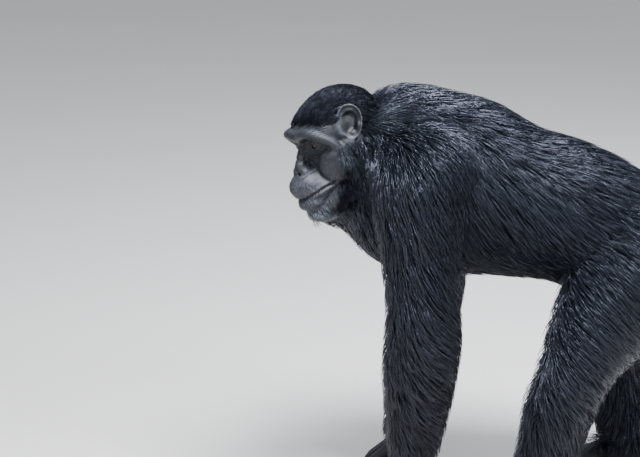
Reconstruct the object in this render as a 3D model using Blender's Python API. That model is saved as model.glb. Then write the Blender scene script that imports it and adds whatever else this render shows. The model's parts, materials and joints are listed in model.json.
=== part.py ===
"""A life-size adult chimpanzee standing on knuckles and soles, in metres, +Z up.

The animal faces -X with its left side towards -Y, and its head is turned to the left. The origin is on
the floor below the middle of its bounding box. The body is modelled whole and parted with thin cuts.
"""

import math

import bmesh
import bpy
import numpy as np
from mathutils import Matrix, Vector
from mathutils.bvhtree import BVHTree

MM = 0.001
GAP = 0.0003
SOLE_DEPTH = 0.0018
SEED = 14

# The core under the locks stands this far off the bare skin, less than half of the coat's depth.
COAT_CORE = 0.010

# The trunk along the spine: x, z, half width and half height of the bare body.
TRUNK = (
    (-0.268, 0.600, 0.080, 0.080),
    (-0.215, 0.598, 0.120, 0.122),
    (-0.140, 0.590, 0.148, 0.142),
    (-0.060, 0.582, 0.152, 0.140),
    (0.030, 0.557, 0.147, 0.116),
    (0.110, 0.540, 0.140, 0.108),
    (0.190, 0.506, 0.131, 0.102),
    (0.260, 0.463, 0.122, 0.090),
    (0.315, 0.432, 0.104, 0.076),
    (0.352, 0.406, 0.072, 0.052),
)

# Each finish: linear colour, roughness and metallic value.
FINISHES = {
    "coat": ((0.012, 0.014, 0.018), 0.55, 0.0),
    "skin": ((0.045, 0.042, 0.045), 0.60, 0.0),
    "ear": ((0.075, 0.068, 0.070), 0.60, 0.0),
    "eye": ((0.060, 0.025, 0.010), 0.08, 0.0),
}

# Joints of the limbs, left and right.
SHOULDER = {"left": (-0.150, -0.150, 0.625), "right": (-0.150, 0.150, 0.620)}
ELBOW = {"left": (-0.138, -0.186, 0.405), "right": (-0.108, 0.184, 0.410)}
WRIST = {"left": (-0.156, -0.170, 0.122), "right": (-0.158, 0.150, 0.122)}
HIP = {"left": (0.272, -0.082, 0.470), "right": (0.282, 0.082, 0.462)}
KNEE = {"left": (0.128, -0.165, 0.292), "right": (0.205, 0.160, 0.290)}
ANKLE = {"left": (0.076, -0.150, 0.080), "right": (0.262, 0.132, 0.082)}
SIDES = {"left": -1.0, "right": 1.0}
HAND_YAW = {"left": 6.0, "right": -10.0}
FOOT_YAW = {"left": 10.0, "right": -12.0}

# The head: where it sits, how it is turned, and its size against the sizes below.
HEAD_AT = (-0.275, -0.030, 0.681)
HEAD_YAW = 34.0
HEAD_PITCH = 19.0
HEAD_ROLL = 12.0
HEAD_SIZE = 1.05
EYE_AT = (63.0, 27.0, 17.0)
EYE_RADIUS = 10.6
EAR_AT = (15.0, 68.0, 31.0)
EAR_HALF_WIDTH, EAR_HALF_HEIGHT, EAR_SIDES = 20.0, 29.0, 12

# The ear from the bottom of its cup over the rim to its root: share of its size, and how far it stands out.
EAR_PROFILE = (
    (0.30, -11.0),
    (0.55, -8.0),
    (0.72, -2.5),
    (0.86, 1.0),
    (0.97, 2.0),
    (1.00, 0.0),
    (0.94, -3.0),
    (0.74, -7.5),
    (0.56, -13.0),
    (0.48, -24.0),
)

# Where the body is parted. The groin is where the front of the thigh leaves the belly (x, z).
HEAD_CUT = ((-0.232, -0.010, 0.690), (0.86, 0.22, -0.46))
NECK_CUT = ((-0.185, 0.000, 0.680), (0.88, 0.00, -0.47))
NECK_HALF_WIDTH = 0.115
WRIST_CUT, ANKLE_CUT = 0.104, 0.086
HIP_CUT = (0.240, 0.090, 0.435)
GROIN = {"left": (0.112, 0.455), "right": (0.160, 0.445)}
TOES_END = {"left": -0.118, "right": 0.060}
ARM_INSIDE = ((0.0, 0.118, 0.600), (0.0, 0.060, 0.000))
ARM_BEHIND = ((-0.050, 0.0, 0.620), (0.050, 0.0, 0.300))
RUMP_FROM = 0.130
LEG_INSIDE = 0.018

# The coat's guides: where, which way the hair lies, how long its locks are and how far they stand out.
# Places are on the left and are mirrored to the right; the limbs' own guides follow their joints.
TRUNK_GUIDES = (
    ((-0.230, 0.000, 0.745), (1.0, 0.00, -0.15), 0.118, 0.015),
    ((-0.130, 0.000, 0.760), (1.0, 0.00, -0.30), 0.134, 0.015),
    ((0.050, 0.000, 0.690), (1.0, 0.00, -0.35), 0.140, 0.014),
    ((0.220, 0.000, 0.600), (1.0, 0.00, -0.60), 0.140, 0.014),
    ((0.340, 0.000, 0.480), (0.5, 0.00, -1.00), 0.112, 0.013),
    ((0.330, 0.090, 0.440), (0.5, 0.10, -1.00), 0.112, 0.013),
    ((-0.235, 0.085, 0.665), (0.8, 0.35, -0.75), 0.123, 0.016),
    ((-0.080, 0.140, 0.660), (0.6, 0.10, -0.90), 0.134, 0.015),
    ((0.030, 0.150, 0.580), (0.7, 0.05, -0.80), 0.140, 0.015),
    ((0.150, 0.140, 0.540), (0.8, 0.05, -0.60), 0.134, 0.014),
    ((0.020, 0.100, 0.460), (1.0, 0.00, -0.30), 0.123, 0.012),
    ((0.020, 0.000, 0.430), (1.0, 0.00, -0.10), 0.112, 0.011),
    ((-0.250, 0.000, 0.520), (0.5, 0.00, -1.00), 0.112, 0.012),
)

# The same for the head, in its own millimetres, for its left half.
HEAD_GUIDES = (
    ((60.0, 0.0, 66.0), (-1.0, 0.0, 0.3), 46.0, 5.0),
    ((0.0, 0.0, 82.0), (-1.0, 0.0, -0.1), 54.0, 7.0),
    ((-58.0, 0.0, 40.0), (-0.5, 0.0, -1.0), 56.0, 8.0),
    ((25.0, 58.0, 56.0), (-1.0, 0.1, -0.2), 42.0, 5.0),
    ((-30.0, 58.0, 15.0), (-0.7, 0.2, -1.0), 56.0, 9.0),
    ((15.0, 55.0, -45.0), (-0.5, 0.4, -1.0), 50.0, 9.0),
    ((35.0, 25.0, -92.0), (-0.4, 0.1, -1.0), 44.0, 9.0),
    ((86.0, 0.0, -106.0), (0.1, 0.0, -1.0), 26.0, 6.0),
)
HEAD_LOCK_SPACING = 46.0
EAR_CLEARANCE = 44.0

# A lock's rings from root to tip: place along it, height, width and thickness, as shares of the lock's own.
LOCK_THICKNESS = 0.5
LOCK_HALF_WIDTH = 0.34
KEEL = 0.003
LEAST_FACING = 0.5
LOCK_RINGS = ((0.0, -0.60, 0.75, 0.8), (0.36, 0.30, 1.00, 1.0), (0.74, 0.70, 0.70, 0.7), (1.0, 1.05, 0.0, 0.0))

# Fineness: the voxel each piece is melted at, and the faces it keeps.
CORE_VOXEL, CORE_FACES = 0.010, 1400
HEAD_VOXEL, HEAD_FACES = 0.0034, 2000
HAND_VOXEL, HAND_FACES = 0.0032, 480
FOOT_VOXEL, FOOT_FACES = 0.0036, 540


def clear_scene():
    for obj in list(bpy.data.objects):
        bpy.data.objects.remove(obj)


def mesh_object(name, bm):
    """A new object with the bmesh's faces, their normals pointing out."""
    bmesh.ops.recalc_face_normals(bm, faces=bm.faces)
    mesh = bpy.data.meshes.new(name)
    bm.to_mesh(mesh)
    bm.free()
    obj = bpy.data.objects.new(name, mesh)
    bpy.context.scene.collection.objects.link(obj)
    return obj


def applied(obj):
    """Applies the object's modifiers."""
    bpy.context.view_layer.update()
    graph = bpy.context.evaluated_depsgraph_get()
    mesh = bpy.data.meshes.new_from_object(obj.evaluated_get(graph))
    obj.modifiers.clear()
    obj.data = mesh
    return obj


def head_frame():
    """The matrix from the head's own millimetres (forward, left, up) to the body's metres."""
    yaw, pitch, roll = (math.radians(a) for a in (HEAD_YAW, HEAD_PITCH, HEAD_ROLL))
    forward = Vector((-math.cos(yaw) * math.cos(pitch), -math.sin(yaw) * math.cos(pitch), -math.sin(pitch)))
    left = Vector((math.sin(yaw), -math.cos(yaw), 0.0))
    left.rotate(Matrix.Rotation(roll, 3, forward))
    up = forward.cross(left)
    turn = Matrix((forward, left, up)).transposed().to_4x4()
    return Matrix.Translation(HEAD_AT) @ turn @ Matrix.Scale(MM * HEAD_SIZE, 4)


def limb_frame(at, yaw_deg, side):
    """A hand's or foot's own metres (forward, outward, up) in the body's frame."""
    yaw = math.radians(yaw_deg)
    forward = Vector((-math.cos(yaw), -math.sin(yaw), 0.0))
    outward = Vector((-math.sin(yaw), math.cos(yaw), 0.0)) * side
    turn = Matrix((forward, outward, Vector((0.0, 0.0, 1.0)))).transposed().to_4x4()
    return Matrix.Translation((at[0], at[1], 0.0)) @ turn


def ellipsoid(centre, radii, frame=Matrix(), fineness=3):
    bm = bmesh.new()
    place = frame @ Matrix.Translation(centre) @ Matrix.Diagonal((*radii, 1.0))
    bmesh.ops.create_icosphere(bm, subdivisions=fineness, radius=1.0, matrix=place)
    return mesh_object("ellipsoid", bm)


def smooth_path(rows, steps):
    """Rows of numbers along a Catmull-Rom curve through the given rows."""
    rows = np.array(rows, float)
    padded = np.vstack([2 * rows[0] - rows[1], rows, 2 * rows[-1] - rows[-2]])
    out = []
    for k in range(len(rows) - 1):
        a, b, c, d = padded[k : k + 4]
        for t in np.linspace(0.0, 1.0, steps, endpoint=False):
            out.append(0.5 * (2 * b + (c - a) * t + (2 * a - 5 * b + 4 * c - d) * t**2 + (3 * b - a - 3 * c + d) * t**3))
    out.append(rows[-1])
    return np.array(out)


def tube(stations, across, frame=Matrix(), sides=16, steps=3):
    """A closed tube through stations (x, y, z, half width, half depth). The width lies along across.

    The ends are domes as long as the tube is wide.
    """
    path = smooth_path(stations, steps)
    centres = [Vector(row[:3]) for row in path]
    sizes = [(row[3], row[4]) for row in path]
    first = (centres[0] - centres[1]).normalized()
    last = (centres[-1] - centres[-2]).normalized()
    rings = []
    for reach, shrink in ((0.92, 0.38), (0.70, 0.72), (0.38, 0.93)):
        rings.append((centres[0] + first * sizes[0][1] * reach, sizes[0], shrink, -first))
    for k, (centre, size) in enumerate(zip(centres, sizes)):
        along = (centres[min(k + 1, len(centres) - 1)] - centres[max(k - 1, 0)]).normalized()
        rings.append((centre, size, 1.0, along))
    for reach, shrink in ((0.38, 0.93), (0.70, 0.72), (0.92, 0.38)):
        rings.append((centres[-1] + last * sizes[-1][1] * reach, sizes[-1], shrink, last))
    bm = bmesh.new()
    loops = []
    for centre, size, shrink, along in rings:
        wide = (Vector(across) - along * along.dot(Vector(across))).normalized()
        deep = along.cross(wide)
        loop = []
        for s in range(sides):
            angle = math.tau * s / sides
            point = centre + wide * (size[0] * shrink * math.cos(angle)) + deep * (size[1] * shrink * math.sin(angle))
            loop.append(bm.verts.new(frame @ point))
        loops.append(loop)
    for near, far in zip(loops, loops[1:]):
        for s in range(sides):
            bm.faces.new((near[s], near[(s + 1) % sides], far[(s + 1) % sides], far[s]))
    bm.faces.new(loops[0])
    bm.faces.new(loops[-1])
    return mesh_object("tube", bm)


def melted(name, pieces, voxel, smoothings):
    """The pieces joined into one rounded skin: a voxel remesh, then a smoothing."""
    bm = bmesh.new()
    for piece in pieces:
        bm.from_mesh(piece.data)
        bpy.data.objects.remove(piece)
    obj = mesh_object(name, bm)
    remesh = obj.modifiers.new("Remesh", "REMESH")
    remesh.mode = "VOXEL"
    remesh.voxel_size = voxel
    smooth = obj.modifiers.new("Smooth", "SMOOTH")
    smooth.factor = 0.5
    smooth.iterations = smoothings
    return applied(obj)


def thinned(obj, faces):
    """The object with about that many triangles."""
    triangles = sum(len(p.vertices) - 2 for p in obj.data.polygons)
    collapse = obj.modifiers.new("Decimate", "DECIMATE")
    collapse.ratio = min(1.0, faces / triangles)
    collapse.use_collapse_triangulate = True
    return applied(obj)


def press(obj, frame, centre, radius, move):
    """Moves the skin near centre by move, fading out to nothing at about twice the radius."""
    reach = Vector(centre)
    shift = frame.to_3x3() @ Vector(move)
    back = frame.inverted()
    for vertex in obj.data.vertices:
        away = (back @ vertex.co - reach).length / radius
        if away < 2.6:
            vertex.co += shift * math.exp(-away * away)


def collected(name, objects):
    group = bpy.data.collections.new(name)
    bpy.context.scene.collection.children.link(group)
    for obj in objects:
        group.objects.link(obj)
    return group


def combined(obj, objects, operation, solver="MANIFOLD"):
    """Joins the objects to obj, or cuts them from it, and removes them."""
    group = collected(operation.lower(), objects)
    change = obj.modifiers.new(operation, "BOOLEAN")
    change.operation = operation
    change.operand_type = "COLLECTION"
    change.collection = group
    change.solver = solver
    applied(obj)
    for other in objects:
        bpy.data.objects.remove(other)
    bpy.data.collections.remove(group)
    return obj


def body_core(grow):
    """Trunk, neck and limbs down to the wrists and ankles, grown by that much over the bare skin."""
    pieces = [tube([(x, 0.0, z, w + grow, h + grow) for x, z, w, h in TRUNK], (0, 1, 0), sides=24)]
    pieces.append(
        tube(
            (
                (-0.190, 0.000, 0.640, 0.096 + grow, 0.092 + grow),
                (-0.235, -0.010, 0.660, 0.076 + grow, 0.080 + grow),
                (-0.268, -0.024, 0.672, 0.064 + grow, 0.068 + grow),
            ),
            (0, 1, 0),
        )
    )
    pieces.append(ellipsoid((-0.160, 0.0, 0.695), (0.095 + grow, 0.105 + grow, 0.050 + grow)))
    for side, sign in SIDES.items():
        pieces += arm(side, sign, grow) + leg(side, sign, grow)
    return melted("core", pieces, CORE_VOXEL, 9)


def between(a, b, share):
    return Vector(a).lerp(Vector(b), share)


def arm(side, sign, grow):
    shoulder, elbow, wrist = SHOULDER[side], ELBOW[side], WRIST[side]
    blade = ellipsoid(
        Vector(shoulder) + Vector((0.015, -0.030 * sign, 0.015)), (0.085 + grow, 0.058 + grow, 0.068 + grow)
    )
    upper = [(*between(shoulder, elbow, t), w + grow, d + grow) for t, w, d in
             ((0.0, 0.056, 0.064), (0.33, 0.052, 0.057), (0.70, 0.043, 0.047), (1.0, 0.041, 0.043))]
    lower = [(*between(elbow, wrist, t), w + grow * (1 - 0.6 * t), d + grow * (1 - 0.6 * t)) for t, w, d in
             ((0.0, 0.042, 0.044), (0.25, 0.044, 0.046), (0.55, 0.037, 0.039), (0.85, 0.029, 0.027),
              (1.0, 0.029, 0.024))]
    return [blade, tube(upper, (0, 1, 0)), tube(lower, (0, 1, 0))]


def leg(side, sign, grow):
    hip, knee, ankle = HIP[side], KNEE[side], ANKLE[side]
    buttock = ellipsoid(Vector(hip) + Vector((0.030, 0.0, -0.020)), (0.085 + grow, 0.070 + grow, 0.086 + grow))
    front = Vector((-0.014, 0.0, 0.006))
    thigh = [(*(between(hip, knee, t) + front * b), w + grow, d + grow) for t, w, d, b in
             ((0.0, 0.078, 0.090, 0.5), (0.35, 0.071, 0.088, 1.0), (0.72, 0.056, 0.064, 0.8), (1.0, 0.046, 0.047, 0.0))]
    calf = Vector((-0.008, 0.0, 0.0))
    shank = [(*(between(knee, ankle, t) + calf * b), w + grow * (1 - 0.6 * t), d + grow * (1 - 0.6 * t))
             for t, w, d, b in ((0.0, 0.045, 0.046, 0.0), (0.32, 0.043, 0.045, 1.0), (0.68, 0.035, 0.037, 0.6),
                                (1.0, 0.030, 0.036, 0.3))]
    return [buttock, tube(thigh, (0, 1, 0)), tube(shank, (0, 1, 0))]


def settled(obj):
    """Sets the object's lowest points a little under the floor, where they are cut flat later."""
    lowest = min(vertex.co.z for vertex in obj.data.vertices)
    for vertex in obj.data.vertices:
        vertex.co.z -= (lowest + SOLE_DEPTH) * max(0.0, 1.0 - vertex.co.z / 0.08)
    return obj


def hand(side, sign):
    """A knuckle-walking hand: palm upright, middle joints of four fingers on the floor, thumb beside."""
    frame = limb_frame(WRIST[side], HAND_YAW[side], sign)
    wrist = WRIST[side][2]
    pieces = [
        tube(((0.0, 0.0, wrist + 0.012, 0.029, 0.023), (0.002, 0.0, wrist - 0.025, 0.034, 0.021),
              (0.010, 0.0, 0.060, 0.040, 0.018)), (0, 1, 0), frame)
    ]
    fingers = ((-0.030, 0.93, 0.0098), (-0.010, 1.03, 0.0106), (0.0105, 1.0, 0.0104), (0.030, 0.86, 0.0092))
    for out, size, r in fingers:
        reach = 0.052 * size
        pieces.append(
            tube(((0.008, out, 0.062, r, r), (0.010 + reach * 0.45, out * 1.03, 0.040, r, r),
                  (0.010 + reach, out * 1.05, r + 0.006, r, r)), (0, 1, 0), frame, 10)
        )
        pieces.append(
            tube(((0.011 + reach, out * 1.05, r + 0.001, r, r), (0.016, out * 1.02, r - 0.001, r, r),
                  (-0.006, out, r + 0.007, r * 0.86, r * 0.86)), (0, 1, 0), frame, 10)
        )
    pieces.append(
        tube(((-0.004, -0.030, 0.092, 0.013, 0.013), (0.004, -0.046, 0.068, 0.0105, 0.0105),
              (0.014, -0.050, 0.040, 0.0085, 0.0085)), (0, 1, 0), frame, 10)
    )
    return thinned(settled(melted("hand", pieces, HAND_VOXEL, 3)), HAND_FACES)


def foot(side, sign):
    """A flat foot with four toes and a big toe that stands away from them."""
    frame = limb_frame(ANKLE[side], FOOT_YAW[side], sign)
    ankle = ANKLE[side][2]
    pieces = [
        tube(((0.000, 0.0, ankle + 0.020, 0.029, 0.034), (-0.004, 0.0, 0.050, 0.030, 0.038)), (0, 1, 0), frame),
        ellipsoid((-0.016, 0.0, 0.024), (0.034, 0.026, 0.025), frame),
        tube(((-0.008, 0.0, ankle + 0.024, 0.022, 0.028), (-0.016, 0.0, 0.034, 0.026, 0.031)), (0, 1, 0), frame),
        tube(((0.000, 0.0, 0.045, 0.032, 0.028), (0.040, 0.003, 0.032, 0.036, 0.026),
              (0.085, 0.006, 0.019, 0.040, 0.019), (0.112, 0.008, 0.014, 0.038, 0.014)), (0, 1, 0), frame),
    ]
    toes = ((-0.020, 1.00, 0.0105), (0.0, 1.05, 0.0108), (0.019, 0.98, 0.0102), (0.037, 0.86, 0.0094))
    for out, size, r in toes:
        reach = 0.052 * size
        pieces.append(
            tube(((0.108, out + 0.004, 0.014, r, r), (0.112 + reach * 0.5, out + 0.006, 0.0165, r, r),
                  (0.112 + reach, out + 0.006, r - 0.001, r * 0.9, r * 0.9)), (0, 1, 0), frame, 10)
        )
    pieces.append(
        tube(((0.030, -0.018, 0.022, 0.017, 0.017), (0.062, -0.048, 0.017, 0.0145, 0.0145),
              (0.092, -0.068, 0.0125, 0.0135, 0.0125)), (0, 1, 0), frame, 12)
    )
    return thinned(settled(melted("foot", pieces, FOOT_VOXEL, 3)), FOOT_FACES)


def head_masses():
    """The masses of the head, as ellipsoids and tubes in its own millimetres."""
    frame = head_frame()
    up = frame.to_3x3() @ Vector((0, 0, 1))
    pieces = [
        ellipsoid((8, 0, 30), (74, 62, 52), frame),
        ellipsoid((40, 0, -8), (44, 50, 50), frame),
        ellipsoid((72, 0, -52), (50, 36, 32), frame),
        ellipsoid((94, 0, -42), (35, 31, 25), frame),
        ellipsoid((97, 0, -72), (28, 27, 15), frame),
        ellipsoid((86, 0, -90), (30, 26, 22), frame),
        ellipsoid((34, 0, -62), (46, 38, 32), frame),
        ellipsoid((98, 0, -13), (12, 13, 8), frame),
        tube(((74, 0, 26, 7, 7), (88, 0, 6, 7.5, 7), (97, 0, -9, 9, 8)), up, frame, 10),
        tube(((56, -50, 28, 8, 10), (70, -40, 38, 9, 11), (79, -22, 43, 9.5, 11), (81, 0, 39, 9, 10),
              (79, 22, 43, 9.5, 11), (70, 40, 38, 9, 11), (56, 50, 28, 8, 10)), up, frame, 12),
    ]
    for s in (-1, 1):
        pieces += [
            tube(((68, 38 * s, -8, 9, 10), (54, 51 * s, -6, 10, 12), (24, 60 * s, 0, 9, 12)), up, frame, 10),
            tube(((12, 48 * s, -6, 18, 24), (14, 46 * s, -46, 17, 24), (44, 36 * s, -72, 17, 19),
                  (82, 16 * s, -88, 14, 15)), (0, 1, 0), frame, 12),
            ellipsoid((50, 32 * s, -28), (32, 22, 34), frame),
            ellipsoid((38, 42 * s, -22), (30, 20, 30), frame),
            ellipsoid((26, 44 * s, 34), (40, 20, 32), frame),
            ellipsoid((101, 9 * s, -16), (7.5, 7.5, 6), frame),
        ]
    return pieces


def mirrored(point, s):
    return (point[0], point[1] * s, point[2])


def eyelids(s):
    """A ball that covers the eye, left solid here and opened by the eye's socket and slit."""
    return ellipsoid(mirrored(EYE_AT, s), (EYE_RADIUS + 2.6,) * 3, head_frame(), 2)


def eye_slit(s):
    """An almond wedge that opens the lids."""
    frame = head_frame()
    x, y, z = EYE_AT
    bm = bmesh.new()
    slit = Matrix.Translation((x + 10, y * s, z - 0.5)) @ Matrix.Diagonal((12, 10.0, 5.2, 1.0))
    bmesh.ops.create_icosphere(bm, subdivisions=2, radius=1.0, matrix=frame @ slit)
    return mesh_object("slit", bm)


def mouth_slot():
    """The line of the mouth: a thin curved wedge from corner to corner."""
    frame = head_frame()
    stations = [(131 - 48 * abs(t) ** 2.0, 41 * t, -60 + 9 * t * t, 9.0, 1.1) for t in np.linspace(-1, 1, 9)]
    return swept(stations, frame)


def swept(stations, frame):
    """A flat ribbon of four sides through stations whose half width points at the head's middle."""
    bm = bmesh.new()
    loops = []
    for x, y, z, half_width, half_depth in stations:
        inward = Vector((-(x - 62), -y, 0)).normalized()
        centre = Vector((x, y, z))
        corners = (
            centre - inward * half_width + Vector((0, 0, half_depth)),
            centre + inward * half_width,
            centre - inward * half_width - Vector((0, 0, half_depth)),
        )
        loops.append([bm.verts.new(frame @ c) for c in corners])
    count = len(loops[0])
    for near, far in zip(loops, loops[1:]):
        for k in range(count):
            bm.faces.new((near[k], near[(k + 1) % count], far[(k + 1) % count], far[k]))
    bm.faces.new(loops[0])
    bm.faces.new(loops[-1])
    return mesh_object("slot", bm)


def head():
    frame = head_frame()
    obj = melted("head", head_masses(), HEAD_VOXEL, 6)
    for s in (-1, 1):
        press(obj, frame, (84, 27 * s, 15), 15, (-15, 0, 0))
        press(obj, frame, (70, 44 * s, -30), 14, (-5, -3 * s, 0))
    press(obj, frame, (92, 0, 60), 16, (-5, 0, 0))
    lids = [eyelids(s) for s in (-1, 1)]
    combined(obj, lids, "UNION")
    return thinned(melted("head", [obj], HEAD_VOXEL * 0.8, 2), HEAD_FACES)


def face_cuts():
    """What is cut from the head: the mouth's line, the nostrils, the eyes' sockets and slits, and the ears' roots."""
    cuts = [mouth_slot()]
    for s in (-1, 1):
        cuts.append(ellipsoid(mirrored(EYE_AT, s), (EYE_RADIUS + GAP / MM,) * 3, head_frame(), 2))
        cuts.append(eye_slit(s))
        cuts.append(ellipsoid((109, 7.5 * s, -18), (6, 3.4, 2.8), head_frame(), 2))
        cuts.append(grown(ear(s), 1.6 * GAP))
    return cuts


def ear(s):
    """A cupped ear with a raised rim, standing out from the side of the head."""
    frame = head_frame()
    outward = Vector((0.42, 0.88 * s, 0.10)).normalized()
    up = Vector((-0.22, 0.0, 1.0))
    up = (up - outward * up.dot(outward)).normalized()
    front = up.cross(outward) * s
    bm = bmesh.new()
    loops = []
    for share, depth in EAR_PROFILE:
        loop = []
        for k in range(EAR_SIDES):
            angle = math.tau * k / EAR_SIDES
            wide = EAR_HALF_WIDTH * (1 + 0.10 * math.sin(angle)) * share
            point = Vector(mirrored(EAR_AT, s)) + outward * depth
            point += front * (wide * math.cos(angle)) + up * (EAR_HALF_HEIGHT * share * math.sin(angle))
            loop.append(bm.verts.new(frame @ point))
        loops.append(loop)
    for near, far in zip(loops, loops[1:]):
        for k in range(EAR_SIDES):
            bm.faces.new((near[k], near[(k + 1) % EAR_SIDES], far[(k + 1) % EAR_SIDES], far[k]))
    bm.faces.new(loops[0])
    bm.faces.new(loops[-1])
    return mesh_object("ear", bm)


def grown(obj, distance):
    """Moves the object's whole surface out by that much."""
    normals = [vertex.normal.copy() for vertex in obj.data.vertices]
    for vertex, normal in zip(obj.data.vertices, normals):
        vertex.co += normal * distance
    return obj


def limb_guides(side, sign):
    """Guides beside the limb's bones, in the body's frame."""
    shoulder, elbow, wrist = SHOULDER[side], ELBOW[side], WRIST[side]
    hip, knee, ankle = HIP[side], KNEE[side], ANKLE[side]
    back = Vector((0.045, 0.0, 0.0))
    return [
        (Vector(shoulder), (0.25, 0.25 * sign, -1.0), 0.120, 0.015),
        (between(shoulder, elbow, 0.55), (0.30, 0.0, -1.0), 0.115, 0.016),
        (between(elbow, wrist, 0.10) - back, (0.25, 0.0, -1.0), 0.100, 0.014),
        (between(elbow, wrist, 0.15) + back, (0.90, 0.0, -0.60), 0.105, 0.018),
        (between(elbow, wrist, 0.60) - back, (0.20, 0.0, -1.0), 0.085, 0.012),
        (between(elbow, wrist, 0.60) + back, (0.90, 0.0, -0.50), 0.090, 0.017),
        (between(elbow, wrist, 1.00), (0.25, 0.0, -1.0), 0.060, 0.009),
        (between(hip, knee, 0.30), (0.60, 0.05 * sign, -0.80), 0.115, 0.014),
        (between(hip, knee, 0.75), (0.75, 0.05 * sign, -0.65), 0.105, 0.014),
        (between(knee, ankle, 0.05), (0.70, 0.0, -0.80), 0.095, 0.014),
        (between(knee, ankle, 0.45), (0.10, 0.0, -1.0), 0.095, 0.015),
        (between(knee, ankle, 1.00) - back, (-0.25, 0.0, -1.0), 0.060, 0.017),
        (between(knee, ankle, 1.00) + back, (0.30, 0.0, -1.0), 0.060, 0.012),
    ]


class Coat:
    """How the coat lies at a point: its guides, blended by their nearness."""

    def __init__(self, guides, reach):
        self.places = np.array([tuple(place) for place, *_ in guides])
        self.values = np.array([(*Vector(lie).normalized(), length, height) for _, lie, length, height in guides])
        self.reach = reach

    def at(self, point):
        """The lie, the length and the height of the lock that grows at point."""
        away = np.linalg.norm(self.places - np.array(point), axis=1)
        weight = 1.0 / (away**2 + self.reach**2) ** 2
        value = weight @ self.values / weight.sum()
        return Vector(value[:3]).normalized(), value[3], value[4]


def mirrored_guides(guides):
    """The guides and their mirror images."""
    out = list(guides)
    for (x, y, z), (lx, ly, lz), length, height in guides:
        if y:
            out.append(((x, -y, z), (lx, -ly, lz), length, height))
    return out


def body_coat():
    guides = mirrored_guides(TRUNK_GUIDES)
    for side, sign in SIDES.items():
        guides += limb_guides(side, sign)
    return Coat(guides, 0.02)


def split_outward(bm, corners, middle):
    """Two triangles over the four corners, creased outward, so that a lock's sides stay apart where it twists."""
    a, b, c, d = (vert.co for vert in corners)
    out = (c - a).cross(d - b)
    if out.dot((a + b + c + d) / 4 - middle) < 0:
        out.negate()
    turn = 0 if out.dot(a + c) > out.dot(b + d) else 1
    w, x, y, z = (corners[(k + turn) % 4] for k in range(4))
    bm.faces.new((w, x, y))
    bm.faces.new((w, y, z))


def lock(bvh, root, normal, lie, length, height, half_width, follow=0.75):
    """A flat lock that grows out of the surface, bends along it and tapers to a tip.

    Its ridge is on top. Where the lock reaches into another part of the body, the ridge is a keel below it
    that stays in the core, so that the cut between the parts leaves no loose tip. Where the surface ahead
    turns away sharply, as where arm and chest meet, the lock goes straight on.
    """
    along = (lie - normal * lie.dot(normal)).normalized()
    place, walked, out = Vector(root), 0.0, normal
    rings = []
    for share, rise, wide, thick in LOCK_RINGS:
        place = place + along * (length * (share - walked))
        walked = share
        hit, facing, _, _ = bvh.find_nearest(place)
        if facing.dot(out) > LEAST_FACING:
            out = facing
            place = place.lerp(hit, follow)
            along = (along - out * along.dot(out) * follow).normalized()
        side = along.cross(out).normalized() * (half_width * wide)
        rings.append((place + out * (height * rise), side, out, thick, height * rise))
    edges = [middle + turn * side for middle, side, *_ in rings for turn in (-1.0, 1.0)]
    keel = len({part_at(edge) for edge in edges}) > 1
    bm = bmesh.new()
    loops = []
    for middle, side, out, thick, rise in rings:
        ridge = -(max(0.0, rise) + KEEL) if keel else LOCK_THICKNESS * height * thick
        corners = (side, out * ridge, -side) if thick else (Vector(),)
        loops.append([bm.verts.new(middle + corner) for corner in corners])
    for near, far in zip(loops, loops[1:]):
        middle = sum((vert.co for vert in near + far), Vector()) / len(near + far)
        for k, m in ((0, 1), (1, 2), (2, 0)):
            if len(far) == 1:
                bm.faces.new((near[k], near[m], far[0]))
            else:
                split_outward(bm, (near[k], near[m], far[m], far[k]), middle)
    bm.faces.new(loops[0])
    return mesh_object("lock", bm)


def spread(obj, spacing, draws, tries=9000):
    """Seeded places on the object's surface, no nearer to each other than spacing(point) gives."""
    mesh = obj.data
    mesh.calc_loop_triangles()
    corners = np.array([[mesh.vertices[v].co for v in t.vertices] for t in mesh.loop_triangles])
    normals = np.array([t.normal for t in mesh.loop_triangles])
    area = np.linalg.norm(np.cross(corners[:, 1] - corners[:, 0], corners[:, 2] - corners[:, 0]), axis=1)
    picks = draws.choice(len(area), size=tries, p=area / area.sum())
    kept, out = np.zeros((0, 3)), []
    for pick in picks:
        a, b = draws.random(2)
        if a + b > 1:
            a, b = 1 - a, 1 - b
        point = corners[pick, 0] * (1 - a - b) + corners[pick, 1] * a + corners[pick, 2] * b
        apart = spacing(Vector(point))
        if apart and (not len(kept) or np.linalg.norm(kept - point, axis=1).min() > apart):
            kept = np.vstack([kept, point])
            out.append((Vector(point), Vector(normals[pick])))
    return out


def body_spacing(point):
    """How far apart the body's locks grow: closer on the limbs, none where the hands and feet begin."""
    near = min((Vector(point) - Vector(joint[side])).length for joint in (WRIST, ANKLE) for side in SIDES)
    if point.z < 0.115 or near < 0.02:
        return 0.0
    on_limb = min(1.0, max(0.0, (0.46 - point.z) / 0.10))
    return 0.088 - 0.020 * on_limb - 0.008 * (point.z < 0.22)


def grown_locks(obj, coat, spacing, draws, frame=Matrix()):
    """Locks all over the object where spacing allows, as its coat lies there."""
    bvh = BVHTree.FromObject(obj, bpy.context.evaluated_depsgraph_get())
    back = frame.inverted()
    scale = frame.to_scale().x
    locks = []
    for point, normal in spread(obj, lambda p: spacing(back @ p) * scale, draws):
        lie, length, height = coat.at(back @ point)
        lie = (frame.to_3x3() @ lie).normalized()
        length, height, half_width = (
            value * scale * draws.uniform(0.88, 1.12) for value in (length, height, LOCK_HALF_WIDTH * length)
        )
        turn = Matrix.Rotation(draws.uniform(-0.15, 0.15), 3, normal)
        locks.append(lock(bvh, point, normal, turn @ lie, length, height, half_width))
    return locks


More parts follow.
